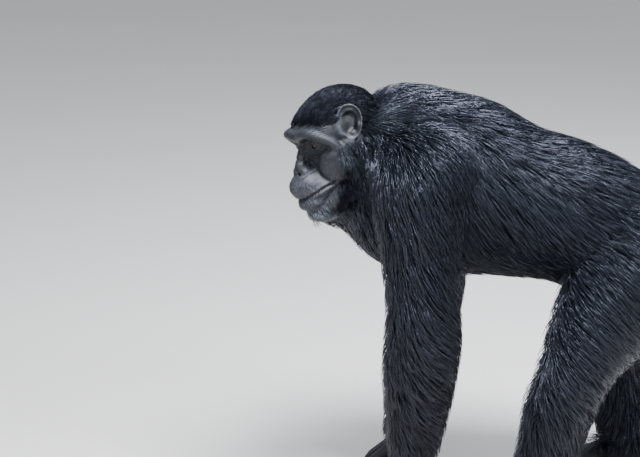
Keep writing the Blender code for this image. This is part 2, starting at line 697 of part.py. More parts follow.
def head_spacing(place):
    """How far apart the head's locks grow, in its own millimetres: none on the face and round the ears."""
    u, v, w = place
    if (Vector((u, abs(v), w)) - Vector(EAR_AT)).length < EAR_CLEARANCE:
        return 0.0
    crown = u < 66.0 and w > 44.0
    nape_and_cheek = u < 22.0
    throat = w < -84.0
    return HEAD_LOCK_SPACING if crown or nape_and_cheek or throat else 0.0


def cell(planes, grow):
    """The block inside all the planes, each a point and a normal that points out, moved out by grow."""
    bm = bmesh.new()
    bmesh.ops.create_cube(bm, size=4.0)
    for point, normal in planes:
        out = Vector(normal).normalized()
        bmesh.ops.bisect_plane(
            bm,
            geom=bm.verts[:] + bm.edges[:] + bm.faces[:],
            plane_co=Vector(point) + out * grow,
            plane_no=out,
            clear_outer=True,
        )
        bmesh.ops.holes_fill(bm, edges=[edge for edge in bm.edges if edge.is_boundary])
    bmesh.ops.triangulate(bm, faces=bm.faces[:])
    return mesh_object("cell", bm)


def copied(obj, name):
    twin = obj.copy()
    twin.data = obj.data.copy()
    twin.name = name
    bpy.context.scene.collection.objects.link(twin)
    return twin


def parted(rest, name, planes):
    """Takes the part of rest inside the planes away as an object of its own, with a gap between them."""
    piece = combined(copied(rest, name), [cell(planes, -GAP / 2)], "INTERSECT")
    combined(rest, [cell(planes, GAP / 2)], "DIFFERENCE")
    return piece


def largest_body(obj):
    """Keeps only the object's largest closed surface, as triangles."""
    bm = bmesh.new()
    bm.from_mesh(obj.data)
    left = set(bm.verts)
    bodies = []
    while left:
        body, edge = set(), [left.pop()]
        while edge:
            vert = edge.pop()
            body.add(vert)
            for near in vert.link_edges:
                other = near.other_vert(vert)
                if other in left:
                    left.discard(other)
                    edge.append(other)
        bodies.append(body)
    bodies.sort(key=lambda body: -volume_of(body))
    for body in bodies[1:]:
        bmesh.ops.delete(bm, geom=list(body), context="VERTS")
    bmesh.ops.triangulate(bm, faces=bm.faces[:])
    bm.to_mesh(obj.data)
    bm.free()


def volume_of(verts):
    """The volume that the verts' faces close."""
    faces = {face for vert in verts for face in vert.link_faces}
    total = 0.0
    for face in faces:
        first = face.verts[0].co
        for b, c in zip(face.verts[1:-1], face.verts[2:]):
            total += first.dot(b.co.cross(c.co)) / 6.0
    return abs(total)


def joint_plane(above, joint, below):
    """The plane across a limb at its joint, with its normal up the limb."""
    up = (Vector(above) - Vector(joint)).normalized() + (Vector(joint) - Vector(below)).normalized()
    return (joint, up.normalized())


def leg_parts(side, sign):
    groin_x, groin_z = GROIN[side]
    toes = TOES_END[side]
    x, y, z = HIP_CUT
    thigh = (
        ((x, y * sign, z), (0.45, -0.55 * sign, 0.70)),
        ((groin_x, 0.0, groin_z), (-groin_z, 0.0, groin_x - toes)),
        ((toes, 0.0, 0.0), (-1.0, 0.0, 0.0)),
        ((0.0, LEG_INSIDE * sign, 0.0), (0.0, -sign, 0.0)),
    )
    return [
        (side + "_thigh", "chest", thigh),
        (side + "_lower_leg", side + "_thigh", (joint_plane(HIP[side], KNEE[side], ANKLE[side]),)),
        (side + "_foot", side + "_lower_leg", (((0, 0, ANKLE_CUT), (0, 0, 1)),)),
    ]


def arm_parts(side, sign):
    (_, y0, z0), (_, y1, z1) = ARM_INSIDE
    (x2, _, z2), (x3, _, z3) = ARM_BEHIND
    upper_arm = (
        ((0.0, y0 * sign, z0), (0.0, -sign * (z0 - z1), y0 - y1)),
        ((x2, 0.0, z2), (z2 - z3, 0.0, x3 - x2)),
    )
    return [
        (side + "_upper_arm", "chest", upper_arm),
        (side + "_forearm", side + "_upper_arm", (joint_plane(SHOULDER[side], ELBOW[side], WRIST[side]),)),
        (side + "_hand", side + "_forearm", (((0, 0, WRIST_CUT), (0, 0, 1)),)),
    ]


def parting():
    """Each part's name, the part that it is cut from, and the planes that it lies inside, in order."""
    neck_sides = [((0.0, NECK_HALF_WIDTH * sign, 0.0), (0.0, sign, 0.0)) for sign in SIDES.values()]
    parts = [("head", "chest", (HEAD_CUT,)), ("neck", "chest", (NECK_CUT, *neck_sides))]
    for side, sign in SIDES.items():
        parts += leg_parts(side, sign)
    for side, sign in SIDES.items():
        parts += arm_parts(side, sign)
    parts.append(("rump", "chest", (((RUMP_FROM, 0, 0), (-1, 0, 0)),)))
    return parts


def part_at(point):
    """The name of the part of the body that the point is in."""
    name = "chest"
    for part, whole, planes in parting():
        if name == whole and all((Vector(point) - Vector(at)).dot(Vector(out)) < 0 for at, out in planes):
            name = part
    return name


def joined_body(draws):
    """Core, head, hands, feet and all locks as one body, cut flat at the floor."""
    core = thinned(body_core(COAT_CORE), CORE_FACES)
    pieces = grown_locks(core, body_coat(), body_spacing, draws)
    skull = head()
    pieces += grown_locks(skull, Coat(mirrored_guides(HEAD_GUIDES), 20.0), head_spacing, draws, head_frame())
    pieces.append(skull)
    for side, sign in SIDES.items():
        pieces += [hand(side, sign), foot(side, sign)]
    combined(core, pieces, "UNION")
    below_floor = cell([((0, 0, 0), (0, 0, 1))], 0.0)
    return combined(core, [below_floor, *face_cuts()], "DIFFERENCE")


def dressed(obj, name, finish):
    """Names the object and gives it a material of its own: colour, roughness and metallic value."""
    obj.name = name
    colour, roughness, metallic = FINISHES[finish]
    material = bpy.data.materials.new(name)
    material.use_nodes = True
    shader = material.node_tree.nodes["Principled BSDF"]
    shader.inputs["Base Color"].default_value = (*colour, 1.0)
    shader.inputs["Roughness"].default_value = roughness
    shader.inputs["Metallic"].default_value = metallic
    obj.data.materials.clear()
    obj.data.materials.append(material)


def centred(objects):
    """Moves the objects so that the origin is on the floor below the middle of their common box."""
    corners = np.array([vertex.co for obj in objects for vertex in obj.data.vertices])
    middle = (corners.min(axis=0) + corners.max(axis=0)) / 2
    shift = Vector((-middle[0], -middle[1], 0.0))
    for obj in objects:
        obj.data.transform(Matrix.Translation(shift))


def main():
    clear_scene()
    draws = np.random.default_rng(SEED)
    nodes = {"chest": joined_body(draws)}
    for name, whole, planes in parting():
        nodes[name] = parted(nodes[whole], name, planes)
    for name, node in nodes.items():
        largest_body(node)
        bare = name.endswith(("hand", "foot"))
        dressed(node, name, "skin" if bare else "coat")
    for s, side in ((1, "left"), (-1, "right")):
        pinna = ear(s)
        dressed(pinna, side + "_ear", "ear")
        ball = ellipsoid(mirrored(EYE_AT, s), (EYE_RADIUS,) * 3, head_frame(), 2)
        dressed(ball, side + "_eye", "eye")
        nodes[side + "_ear"], nodes[side + "_eye"] = pinna, ball
    centred(list(nodes.values()))


if __name__ == "__main__":
    main()
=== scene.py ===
"""The looks of a life-size adult chimpanzee that stands on its knuckles and soles.

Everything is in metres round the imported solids: the animal faces -X, its left side is towards -Y and +Z is up.
Sizes that the solids share are repeated here. One skin stands for all the flesh, and the coat is thin solid
tufts that Geometry Nodes grow over it along the lie of the hair.
"""

import json
import logging
import math
from dataclasses import dataclass, field
from enum import Enum
from typing import Callable, Iterable, Sequence

import bmesh
import bpy
import numpy as np
from mathutils import Matrix, Vector
from mathutils.bvhtree import BVHTree

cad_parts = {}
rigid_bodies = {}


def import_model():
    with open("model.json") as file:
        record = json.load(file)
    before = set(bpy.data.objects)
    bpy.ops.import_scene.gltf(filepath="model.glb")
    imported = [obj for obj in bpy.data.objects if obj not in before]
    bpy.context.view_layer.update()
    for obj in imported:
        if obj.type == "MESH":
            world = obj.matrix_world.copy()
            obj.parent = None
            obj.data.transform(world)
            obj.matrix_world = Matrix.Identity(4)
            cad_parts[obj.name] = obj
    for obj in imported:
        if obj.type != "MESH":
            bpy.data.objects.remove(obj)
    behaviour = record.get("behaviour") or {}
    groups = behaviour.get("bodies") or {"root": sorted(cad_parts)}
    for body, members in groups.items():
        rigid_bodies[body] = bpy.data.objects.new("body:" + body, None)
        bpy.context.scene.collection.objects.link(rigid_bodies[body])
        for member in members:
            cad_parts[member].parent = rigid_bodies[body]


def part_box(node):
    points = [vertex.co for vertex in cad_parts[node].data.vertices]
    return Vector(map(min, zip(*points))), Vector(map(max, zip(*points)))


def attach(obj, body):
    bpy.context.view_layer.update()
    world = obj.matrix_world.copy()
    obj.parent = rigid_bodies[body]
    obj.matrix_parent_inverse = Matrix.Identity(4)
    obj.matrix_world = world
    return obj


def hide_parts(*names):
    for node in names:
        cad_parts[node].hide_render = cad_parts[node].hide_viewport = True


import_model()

log = logging.getLogger("chimpanzee")
Point = Sequence[float]

MM = 0.001
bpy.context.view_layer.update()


class Side(Enum):
    """A side of the animal, as the sign of its Y."""

    LEFT = -1.0
    RIGHT = 1.0

    @property
    def label(self) -> str:
        """The side's name as the nodes spell it."""
        return self.name.lower()


# ---- meshes


def new_object(name: str, mesh: bpy.types.Mesh) -> bpy.types.Object:
    """Puts a mesh in the scene as an object of that name at the origin."""
    obj = bpy.data.objects.new(name, mesh)
    bpy.context.scene.collection.objects.link(obj)
    return obj


def from_bmesh(name: str, bm: bmesh.types.BMesh) -> bpy.types.Object:
    """Makes an object of a bmesh, with its faces turned outwards."""
    bmesh.ops.recalc_face_normals(bm, faces=bm.faces)
    mesh = bpy.data.meshes.new(name)
    bm.to_mesh(mesh)
    bm.free()
    return new_object(name, mesh)


def applied(obj: bpy.types.Object) -> bpy.types.Object:
    """Applies the object's modifiers."""
    bpy.context.view_layer.update()
    graph = bpy.context.evaluated_depsgraph_get()
    mesh = bpy.data.meshes.new_from_object(obj.evaluated_get(graph))
    obj.modifiers.clear()
    obj.data = mesh
    return obj


def rows(items: Iterable, key: str, count: int, width: int = 3) -> np.ndarray:
    """Reads one property of a Blender collection.

    Args:
        items: the collection, such as a mesh's vertices.
        key: the property.
        count: how many items there are.
        width: how many numbers each item has.

    Returns:
        An array of count rows.
    """
    flat = np.empty(count * width, np.float32)
    items.foreach_get(key, flat)
    return flat.reshape(count, width).astype(float)


def places(mesh: bpy.types.Mesh) -> np.ndarray:
    """The mesh's vertices as an array."""
    return rows(mesh.vertices, "co", len(mesh.vertices))


def moved(mesh: bpy.types.Mesh, points: np.ndarray) -> None:
    """Puts the mesh's vertices at these points."""
    mesh.vertices.foreach_set("co", points.astype(np.float32).ravel())
    mesh.update()


def facings(mesh: bpy.types.Mesh) -> np.ndarray:
    """The mesh's vertex normals as an array."""
    return rows(mesh.vertex_normals, "vector", len(mesh.vertices))


def marked(mesh: bpy.types.Mesh, name: str, values: np.ndarray) -> None:
    """Stores a number, a vector or a colour for each vertex, by how many columns the values have."""
    values = np.asarray(values, np.float32)
    kind, key = {1: ("FLOAT", "value"), 3: ("FLOAT_VECTOR", "vector"), 4: ("FLOAT_COLOR", "color")}[
        1 if values.ndim == 1 else values.shape[1]
    ]
    mesh.attributes.new(name, kind, "POINT").data.foreach_set(key, values.ravel())


def smooth_step(values: np.ndarray, start: float, end: float) -> np.ndarray:
    """Goes smoothly from 0 at start to 1 at end. The start may be above the end."""
    share = np.clip((values - start) / (end - start), 0.0, 1.0)
    return share * share * (3.0 - 2.0 * share)


def bump(values: np.ndarray, width: float) -> np.ndarray:
    """A round hill of height 1 at 0 that fades out within about twice its width."""
    return np.exp(-((values / width) ** 2))


def unit(vectors: np.ndarray) -> np.ndarray:
    """The vectors at length 1."""
    return vectors / np.maximum(np.linalg.norm(vectors, axis=-1, keepdims=True), 1e-9)


def ellipsoid(centre: Point, radii: Point, place: Matrix = Matrix(), fineness: int = 4) -> bpy.types.Object:
    """A closed ellipsoid.

    Args:
        centre: its centre in the frame of place.
        radii: its three radii there.
        place: the frame that it is given in.
        fineness: how often its faces are split.

    Returns:
        The object.
    """
    bm = bmesh.new()
    matrix = place @ Matrix.Translation(centre) @ Matrix.Diagonal((*radii, 1.0))
    bmesh.ops.create_icosphere(bm, subdivisions=fineness, radius=1.0, matrix=matrix)
    return from_bmesh("ellipsoid", bm)


def smooth_path(stations: Sequence[Point], steps: int) -> np.ndarray:
    """Rows of numbers along a Catmull-Rom curve through the given rows."""
    given = np.array(stations, float)
    padded = np.vstack([2 * given[0] - given[1], given, 2 * given[-1] - given[-2]])
    out = []
    for k in range(len(given) - 1):
        a, b, c, d = padded[k : k + 4]
        for t in np.linspace(0.0, 1.0, steps, endpoint=False):
            cubic = (2 * a - 5 * b + 4 * c - d) * t**2 + (3 * b - a - 3 * c + d) * t**3
            out.append(0.5 * (2 * b + (c - a) * t + cubic))
    out.append(given[-1])
    return np.array(out)


DOME = ((0.98, 0.20), (0.92, 0.39), (0.80, 0.60), (0.60, 0.80), (0.32, 0.95))


def tube(
    stations: Sequence[Point], across: Point, place: Matrix = Matrix(), sides: int = 24, steps: int = 4
) -> bpy.types.Object:
    """A closed tube with domed ends.

    Args:
        stations: x, y, z, half width and half depth along it.
        across: the direction that the width lies along.
        place: the frame that the stations are given in.
        sides: how many sides it has.
        steps: how many rings there are from one station to the next.

    Returns:
        The object.
    """
    path = smooth_path(stations, steps)
    centres = path[:, :3]
    along = unit(np.gradient(centres, axis=0))
    rings = [(centres[0] - along[0] * path[0, 4] * reach, path[0], shrink, along[0]) for reach, shrink in DOME]
    rings += [(centre, row, 1.0, way) for centre, row, way in zip(centres, path, along)]
    rings += [
        (centres[-1] + along[-1] * path[-1, 4] * reach, path[-1], shrink, along[-1]) for reach, shrink in DOME[::-1]
    ]
    turn = np.linspace(0.0, math.tau, sides, endpoint=False)
    bm = bmesh.new()
    loops = []
    for centre, row, shrink, way in rings:
        wide = unit(np.array(across) - way * np.dot(way, across))
        deep = np.cross(way, wide)
        ring = centre + shrink * (np.outer(np.cos(turn), wide) * row[3] + np.outer(np.sin(turn), deep) * row[4])
        loops.append([bm.verts.new(place @ Vector(point)) for point in ring])
    for near, far in zip(loops, loops[1:]):
        for s in range(sides):
            bm.faces.new((near[s], near[(s + 1) % sides], far[(s + 1) % sides], far[s]))
    bm.faces.new(loops[0])
    bm.faces.new(loops[-1])
    return from_bmesh("tube", bm)


def melted(name: str, pieces: Sequence[bpy.types.Object], voxel: float, smoothings: int) -> bpy.types.Object:
    """Joins the pieces into one rounded skin by a voxel remesh and a smoothing.

    Args:
        name: the new object's name.
        pieces: closed objects that overlap; they are removed.
        voxel: the remesh's voxel.
        smoothings: how often the surface is smoothed.

    Returns:
        The object.
    """
    bm = bmesh.new()
    for piece in pieces:
        bm.from_mesh(piece.data)
        bpy.data.objects.remove(piece)
    obj = from_bmesh(name, bm)
    remesh = obj.modifiers.new("Remesh", "REMESH")
    remesh.mode = "VOXEL"
    remesh.voxel_size = voxel
    smooth = obj.modifiers.new("Smooth", "SMOOTH")
    smooth.factor = 0.5
    smooth.iterations = smoothings
    return applied(obj)


def combined(obj: bpy.types.Object, others: Sequence[bpy.types.Object], operation: str) -> bpy.types.Object:
    """Joins the others to the object, or cuts them from it, and removes them.

    Args:
        obj: the object that is changed.
        others: closed objects.
        operation: UNION or DIFFERENCE.

    Returns:
        The changed object.
    """
    group = bpy.data.collections.new(operation.lower())
    bpy.context.scene.collection.children.link(group)
    for other in others:
        group.objects.link(other)
    change = obj.modifiers.new(operation, "BOOLEAN")
    change.operation = operation
    change.operand_type = "COLLECTION"
    change.collection = group
    change.solver = "MANIFOLD"
    applied(obj)
    for other in others:
        bpy.data.objects.remove(other)
    bpy.data.collections.remove(group)
    return obj


# ---- materials


def linear(code: str) -> tuple[float, float, float]:
    """Turns an sRGB hex colour to linear."""
    parts = [int(code[k : k + 2], 16) / 255 for k in (1, 3, 5)]
    return tuple(c / 12.92 if c <= 0.04045 else ((c + 0.055) / 1.055) ** 2.4 for c in parts)


def add(tree: bpy.types.NodeTree, kind: str, inputs: dict | None = None, out: int | str = 0, **settings: object):
    """Adds a node with its settings, values and links.

    Args:
        tree: the node tree.
        kind: the node's type.
        inputs: a value or an output socket for each input, by its place or its name.
        out: which output is wanted, by its place or its name.
        settings: the node's own properties.

    Returns:
        That output socket.
    """
    node = tree.nodes.new(kind)
    for name, value in settings.items():
        setattr(node, name, value)
    for key, value in (inputs or {}).items():
        socket = node.inputs[key] if isinstance(key, int) else next(s for s in node.inputs if s.name == key and s.enabled)
        if isinstance(value, bpy.types.NodeSocket):
            tree.links.new(value, socket)
        else:
            socket.default_value = value
    return node.outputs[out] if isinstance(out, int) else next(s for s in node.outputs if s.name == out and s.enabled)


def blank_material(name: str) -> tuple[bpy.types.Material, bpy.types.NodeTree, bpy.types.Node]:
    """A new material with its tree and its Principled shader."""
    material = bpy.data.materials.new(name)
    material.use_nodes = True
    tree = material.node_tree
    return material, tree, tree.nodes["Principled BSDF"]


@dataclass(frozen=True)
class HairFinish:
    """Coarse black ape hair, grown and weathered: near black, with a blue-grey sheen along each strand."""

    name: str
    tip: str
    roughness: float = 0.30
    specular: float = 0.50
    specular_tint: str = "#dde4fa"
    sheen: float = 0.02
    sheen_tint: str = "#95a3ba"
    tip_share: float = 0.20
    spread: float = 0.60

    def material(self) -> bpy.types.Material:
        """The tufts' Tint attribute, darker or lighter from tuft to tuft and bleached towards the tips."""
        material, tree, shader = blank_material(self.name)
        tint = add(tree, "ShaderNodeAttribute", out="Color", attribute_name="Tint")
        tuft = add(tree, "ShaderNodeAttribute", out="Fac", attribute_name="Tuft")
        along = add(tree, "ShaderNodeAttribute", out="Fac", attribute_name="Along")
        level = add(
            tree,
            "ShaderNodeMapRange",
            {"Value": tuft, "To Min": 1.0 - self.spread, "To Max": 1.0 + self.spread},
        )
        varied = add(
            tree, "ShaderNodeMix", {"Factor": 1.0, "A": tint, "B": level}, "Result", data_type="RGBA", blend_type="MULTIPLY"
        )
        bleach = add(tree, "ShaderNodeMath", {0: along, 1: 2.0}, operation="POWER")
        share = add(tree, "ShaderNodeMath", {0: bleach, 1: self.tip_share}, operation="MULTIPLY")
        colour = add(
            tree,
            "ShaderNodeMix",
            {"Factor": share, "A": varied, "B": (*linear(self.tip), 1.0)},
            "Result",
            data_type="RGBA",
        )
        tree.links.new(colour, shader.inputs["Base Color"])
        shader.inputs["Roughness"].default_value = self.roughness
        shader.inputs["Specular IOR Level"].default_value = self.specular
        shader.inputs["Specular Tint"].default_value = (*linear(self.specular_tint), 1.0)
        shader.inputs["Sheen Weight"].default_value = self.sheen
        shader.inputs["Sheen Roughness"].default_value = 0.45
        shader.inputs["Sheen Tint"].default_value = (*linear(self.sheen_tint), 1.0)
        return material


BODY_HAIR = HairFinish("ape_hair", "#2b303a")
# Painted shade: the crown's hair is a darker, less glossy copy of the body hair, so that the crown reads as shaded.
SHADED_CROWN_HAIR = HairFinish("ape_crown_hair", "#0f1217", roughness=0.34, specular=0.15, sheen=0.0, tip_share=0.12)
WHITE_HAIR = HairFinish("ape_beard_hair", "#a9b3b8", specular=0.45, sheen=0.05, specular_tint="#ffffff", spread=0.35)


@dataclass(frozen=True)
class SkinFinish:
    """Bare slate-grey ape skin: leathery, mottled, with pores and a net of fine wrinkles."""

    name: str = "ape_skin"
    pore: float = 1.1 * MM
    wrinkle: float = 3.0 * MM
    fold: float = 3.4 * MM
    blotch: float = 12.0 * MM
    speck: float = 3.6 * MM
    roughness: float = 0.50

    def material(self) -> bpy.types.Material:
        """The skin's Tone attribute, mottled and flecked and darkened with painted shade in its creases, with a bump of
        pores, a net and lines along its folds.
        """
        material, tree, shader = blank_material(self.name)
        place = add(tree, "ShaderNodeTexCoord", out="Object")
        tone, crease_shade, fold, fold_depth = (
            add(tree, "ShaderNodeAttribute", out=out, attribute_name=name)
            for name, out in (("Tone", "Color"), ("Crease", "Fac"), ("Fold", "Fac"), ("FoldDepth", "Fac"))
        )
        noise = {"Vector": place, "Detail": 3.0}
        blotches = add(tree, "ShaderNodeTexNoise", {**noise, "Scale": 1.0 / self.blotch})
        specks = add(tree, "ShaderNodeTexNoise", {**noise, "Scale": 1.0 / self.speck})
        wander = add(tree, "ShaderNodeTexNoise", {**noise, "Scale": 0.4 / self.wrinkle}, "Color")
        bent = add(
            tree,
            "ShaderNodeVectorMath",
            {0: wander, 1: (1.6 * self.wrinkle,) * 3, 2: place},
            operation="MULTIPLY_ADD",
        )
        net = add(tree, "ShaderNodeTexVoronoi", {"Vector": bent, "Scale": 1.0 / self.wrinkle}, feature="DISTANCE_TO_EDGE")
        mottle = add(tree, "ShaderNodeMath", {0: blotches, 1: specks}, operation="ADD")
        level = add(
            tree,
            "ShaderNodeMapRange",
            {"Value": mottle, "From Min": 0.7, "From Max": 1.3, "To Min": 0.60, "To Max": 1.35},
        )
        flecks = add(
            tree,
            "ShaderNodeMapRange",
            {"Value": specks, "From Min": 0.56, "From Max": 0.72, "To Max": 0.55},
        )
        level = add(tree, "ShaderNodeMath", {0: level, 1: flecks}, operation="ADD")
        # Painted shade: the colour is darker where the skin is creased.
        shade = add(tree, "ShaderNodeMath", {0: crease_shade, 1: -0.6, 2: level}, operation="MULTIPLY_ADD")
        colour = add(
            tree, "ShaderNodeMix", {"Factor": 1.0, "A": tone, "B": shade}, "Result", data_type="RGBA", blend_type="MULTIPLY"
        )
        grain = add(tree, "ShaderNodeTexNoise", {**noise, "Scale": 1.0 / self.pore})
        line = add(tree, "ShaderNodeMapRange", {"Value": net, "From Min": 0.0, "From Max": 0.12})
        relief = add(tree, "ShaderNodeMath", {0: line, 1: 0.22, 2: grain}, operation="MULTIPLY_ADD")
        turns = add(tree, "ShaderNodeMath", {0: blotches, 1: 9.0}, operation="MULTIPLY")
        phase = add(tree, "ShaderNodeMath", {0: fold, 1: math.tau * MM / self.fold, 2: turns}, operation="MULTIPLY_ADD")
        ripple = add(tree, "ShaderNodeMath", {0: phase}, operation="SINE")
        relief = add(tree, "ShaderNodeMath", {0: ripple, 1: fold_depth, 2: relief}, operation="MULTIPLY_ADD")
        raised = add(
            tree, "ShaderNodeBump", {"Strength": 0.6, "Distance": 0.5 * MM, "Height": relief}, "Normal"
        )
        rough = add(
            tree,
            "ShaderNodeMapRange",
            {"Value": specks, "To Min": self.roughness - 0.14, "To Max": self.roughness + 0.14},
        )
        tree.links.new(colour, shader.inputs["Base Color"])
        tree.links.new(rough, shader.inputs["Roughness"])
        tree.links.new(raised, shader.inputs["Normal"])
        shader.inputs["Specular IOR Level"].default_value = 0.30
        return material


@dataclass(frozen=True)
class EyeFinish:
    """A wet eyeball: black pupil, amber-brown iris, and the dark brown white that apes have."""

    name: str = "wet_eye"
    pupil: float = 13.0
    iris: float = 34.0
    colours: tuple[str, str, str, str, str] = ("#020101", "#341d0d", "#22110a", "#090504", "#1a120e")

    def material(self) -> bpy.types.Material:
        """Rings of colour by the Gaze attribute, the angle from the gaze in degrees."""
        material, tree, shader = blank_material(self.name)
        gaze = add(tree, "ShaderNodeAttribute", out="Fac", attribute_name="Gaze")
        share = add(tree, "ShaderNodeMath", {0: gaze, 1: 90.0}, operation="DIVIDE")
        colour = add(tree, "ShaderNodeValToRGB", {"Fac": share}, "Color")
        ramp = colour.node.color_ramp
        stops = (self.pupil, self.pupil + 3.0, self.iris - 6.0, self.iris, self.iris + 5.0)
        ramp.elements[0].position, ramp.elements[1].position = stops[0] / 90.0, stops[-1] / 90.0
        for stop in stops[1:-1]:
            ramp.elements.new(stop / 90.0)
        for element, code in zip(ramp.elements, self.colours):
            element.color = (*linear(code), 1.0)
        tree.links.new(colour, shader.inputs["Base Color"])
        shader.inputs["Roughness"].default_value = 0.04
        shader.inputs["IOR"].default_value = 1.36
        return material


@dataclass(frozen=True)
class NailFinish:
    """Dark horn of a nail: brown-black, worn smooth, with faint ridges along it."""

    name: str = "nail_horn"
    dark: str = "#2a231f"
    light: str = "#4d423a"
    ridge: float = 0.9 * MM

    def material(self) -> bpy.types.Material:
        """Streaked colour and a soft gloss."""
        material, tree, shader = blank_material(self.name)
        place = add(tree, "ShaderNodeTexCoord", out="Object")
        streak = add(tree, "ShaderNodeTexNoise", {"Vector": place, "Scale": 1.0 / self.ridge, "Detail": 2.0})
        colour = add(
            tree,
            "ShaderNodeMix",
            {"Factor": streak, "A": (*linear(self.dark), 1.0), "B": (*linear(self.light), 1.0)},
            "Result",
            data_type="RGBA",
        )
        raised = add(tree, "ShaderNodeBump", {"Strength": 0.3, "Distance": 0.2 * MM, "Height": streak}, "Normal")
        tree.links.new(colour, shader.inputs["Base Color"])
        tree.links.new(raised, shader.inputs["Normal"])
        shader.inputs["Roughness"].default_value = 0.38
        return material


@dataclass(frozen=True)
class FloorFinish:
    """A matt pale studio floor of painted board."""

    name: str = "painted_board"
    colour: str = "#c9c7c2"

    def material(self) -> bpy.types.Material:
        """An even pale coat of paint with the faintest unevenness."""
        material, tree, shader = blank_material(self.name)
        place = add(tree, "ShaderNodeTexCoord", out="Object")
        cloud = add(tree, "ShaderNodeTexNoise", {"Vector": place, "Scale": 3.0, "Detail": 2.0})
        level = add(tree, "ShaderNodeMapRange", {"Value": cloud, "To Min": 0.97, "To Max": 1.03})
        colour = add(
            tree,
            "ShaderNodeMix",
            {"Factor": 1.0, "A": (*linear(self.colour), 1.0), "B": level},
            "Result",
            data_type="RGBA",
            blend_type="MULTIPLY",
        )
        tree.links.new(colour, shader.inputs["Base Color"])
        shader.inputs["Roughness"].default_value = 0.85
        return material


# ---- the body's masses, as in the solids


@dataclass(frozen=True)
class Trunk:
    """Chest, belly, rump and neck under the coat."""

    spine: tuple = (
        (-0.268, 0.600, 0.080, 0.080),
        (-0.215, 0.598, 0.120, 0.122),
        (-0.140, 0.590, 0.148, 0.142),
        (-0.060, 0.582, 0.152, 0.140),
        (0.030, 0.557, 0.147, 0.116),
        (0.110, 0.540, 0.140, 0.108),
        (0.190, 0.506, 0.131, 0.102),
        (0.260, 0.463, 0.122, 0.090),
        (0.315, 0.432, 0.104, 0.076),
        (0.352, 0.406, 0.072, 0.052),
    )
    neck: tuple = (
        (-0.190, 0.000, 0.640, 0.096, 0.092),
        (-0.235, -0.010, 0.660, 0.076, 0.080),
        (-0.268, -0.024, 0.672, 0.064, 0.068),
    )

    def masses(self) -> list[bpy.types.Object]:
        """The trunk's tube, the neck's, and the muscle of the nape."""
        stations = [(x, 0.0, z, w, h) for x, z, w, h in self.spine]
        nape = ellipsoid((-0.160, 0.0, 0.695), (0.095, 0.105, 0.050))
        return [tube(stations, (0, 1, 0), sides=40), tube(self.neck, (0, 1, 0)), nape]


def limb_frame(at: Point, yaw_deg: float, side: Side) -> Matrix:
    """A hand's or foot's own frame.

    Args:
        at: the wrist or ankle, which it stands below.
        yaw_deg: how far it is turned.
        side: the side that it is on.

    Returns:
        The matrix from its own metres (forward, outward, up) to the body's.
    """
    yaw = math.radians(yaw_deg)
    forward = Vector((-math.cos(yaw), -math.sin(yaw), 0.0))
    outward = Vector((-math.sin(yaw), math.cos(yaw), 0.0)) * side.value
    turn = Matrix((forward, outward, Vector((0.0, 0.0, 1.0)))).transposed().to_4x4()
    return Matrix.Translation((at[0], at[1], 0.0)) @ turn


def settled(obj: bpy.types.Object, depth: float = 1.8 * MM) -> bpy.types.Object:
    """Sets the object's lowest points that deep under the floor and flattens them on it."""
    points = places(obj.data)
    points[:, 2] -= (points[:, 2].min() + depth) * np.maximum(0.0, 1.0 - points[:, 2] / 0.08)
    points[:, 2] = np.maximum(points[:, 2], 0.0)
    moved(obj.data, points)
    return obj


@dataclass(frozen=True)
class Nail:
    """A nail: where it is, which way it faces and grows, and its half width and half length."""

    at: Point
    facing: Point
    growing: Point
    half_width: float
    half_length: float


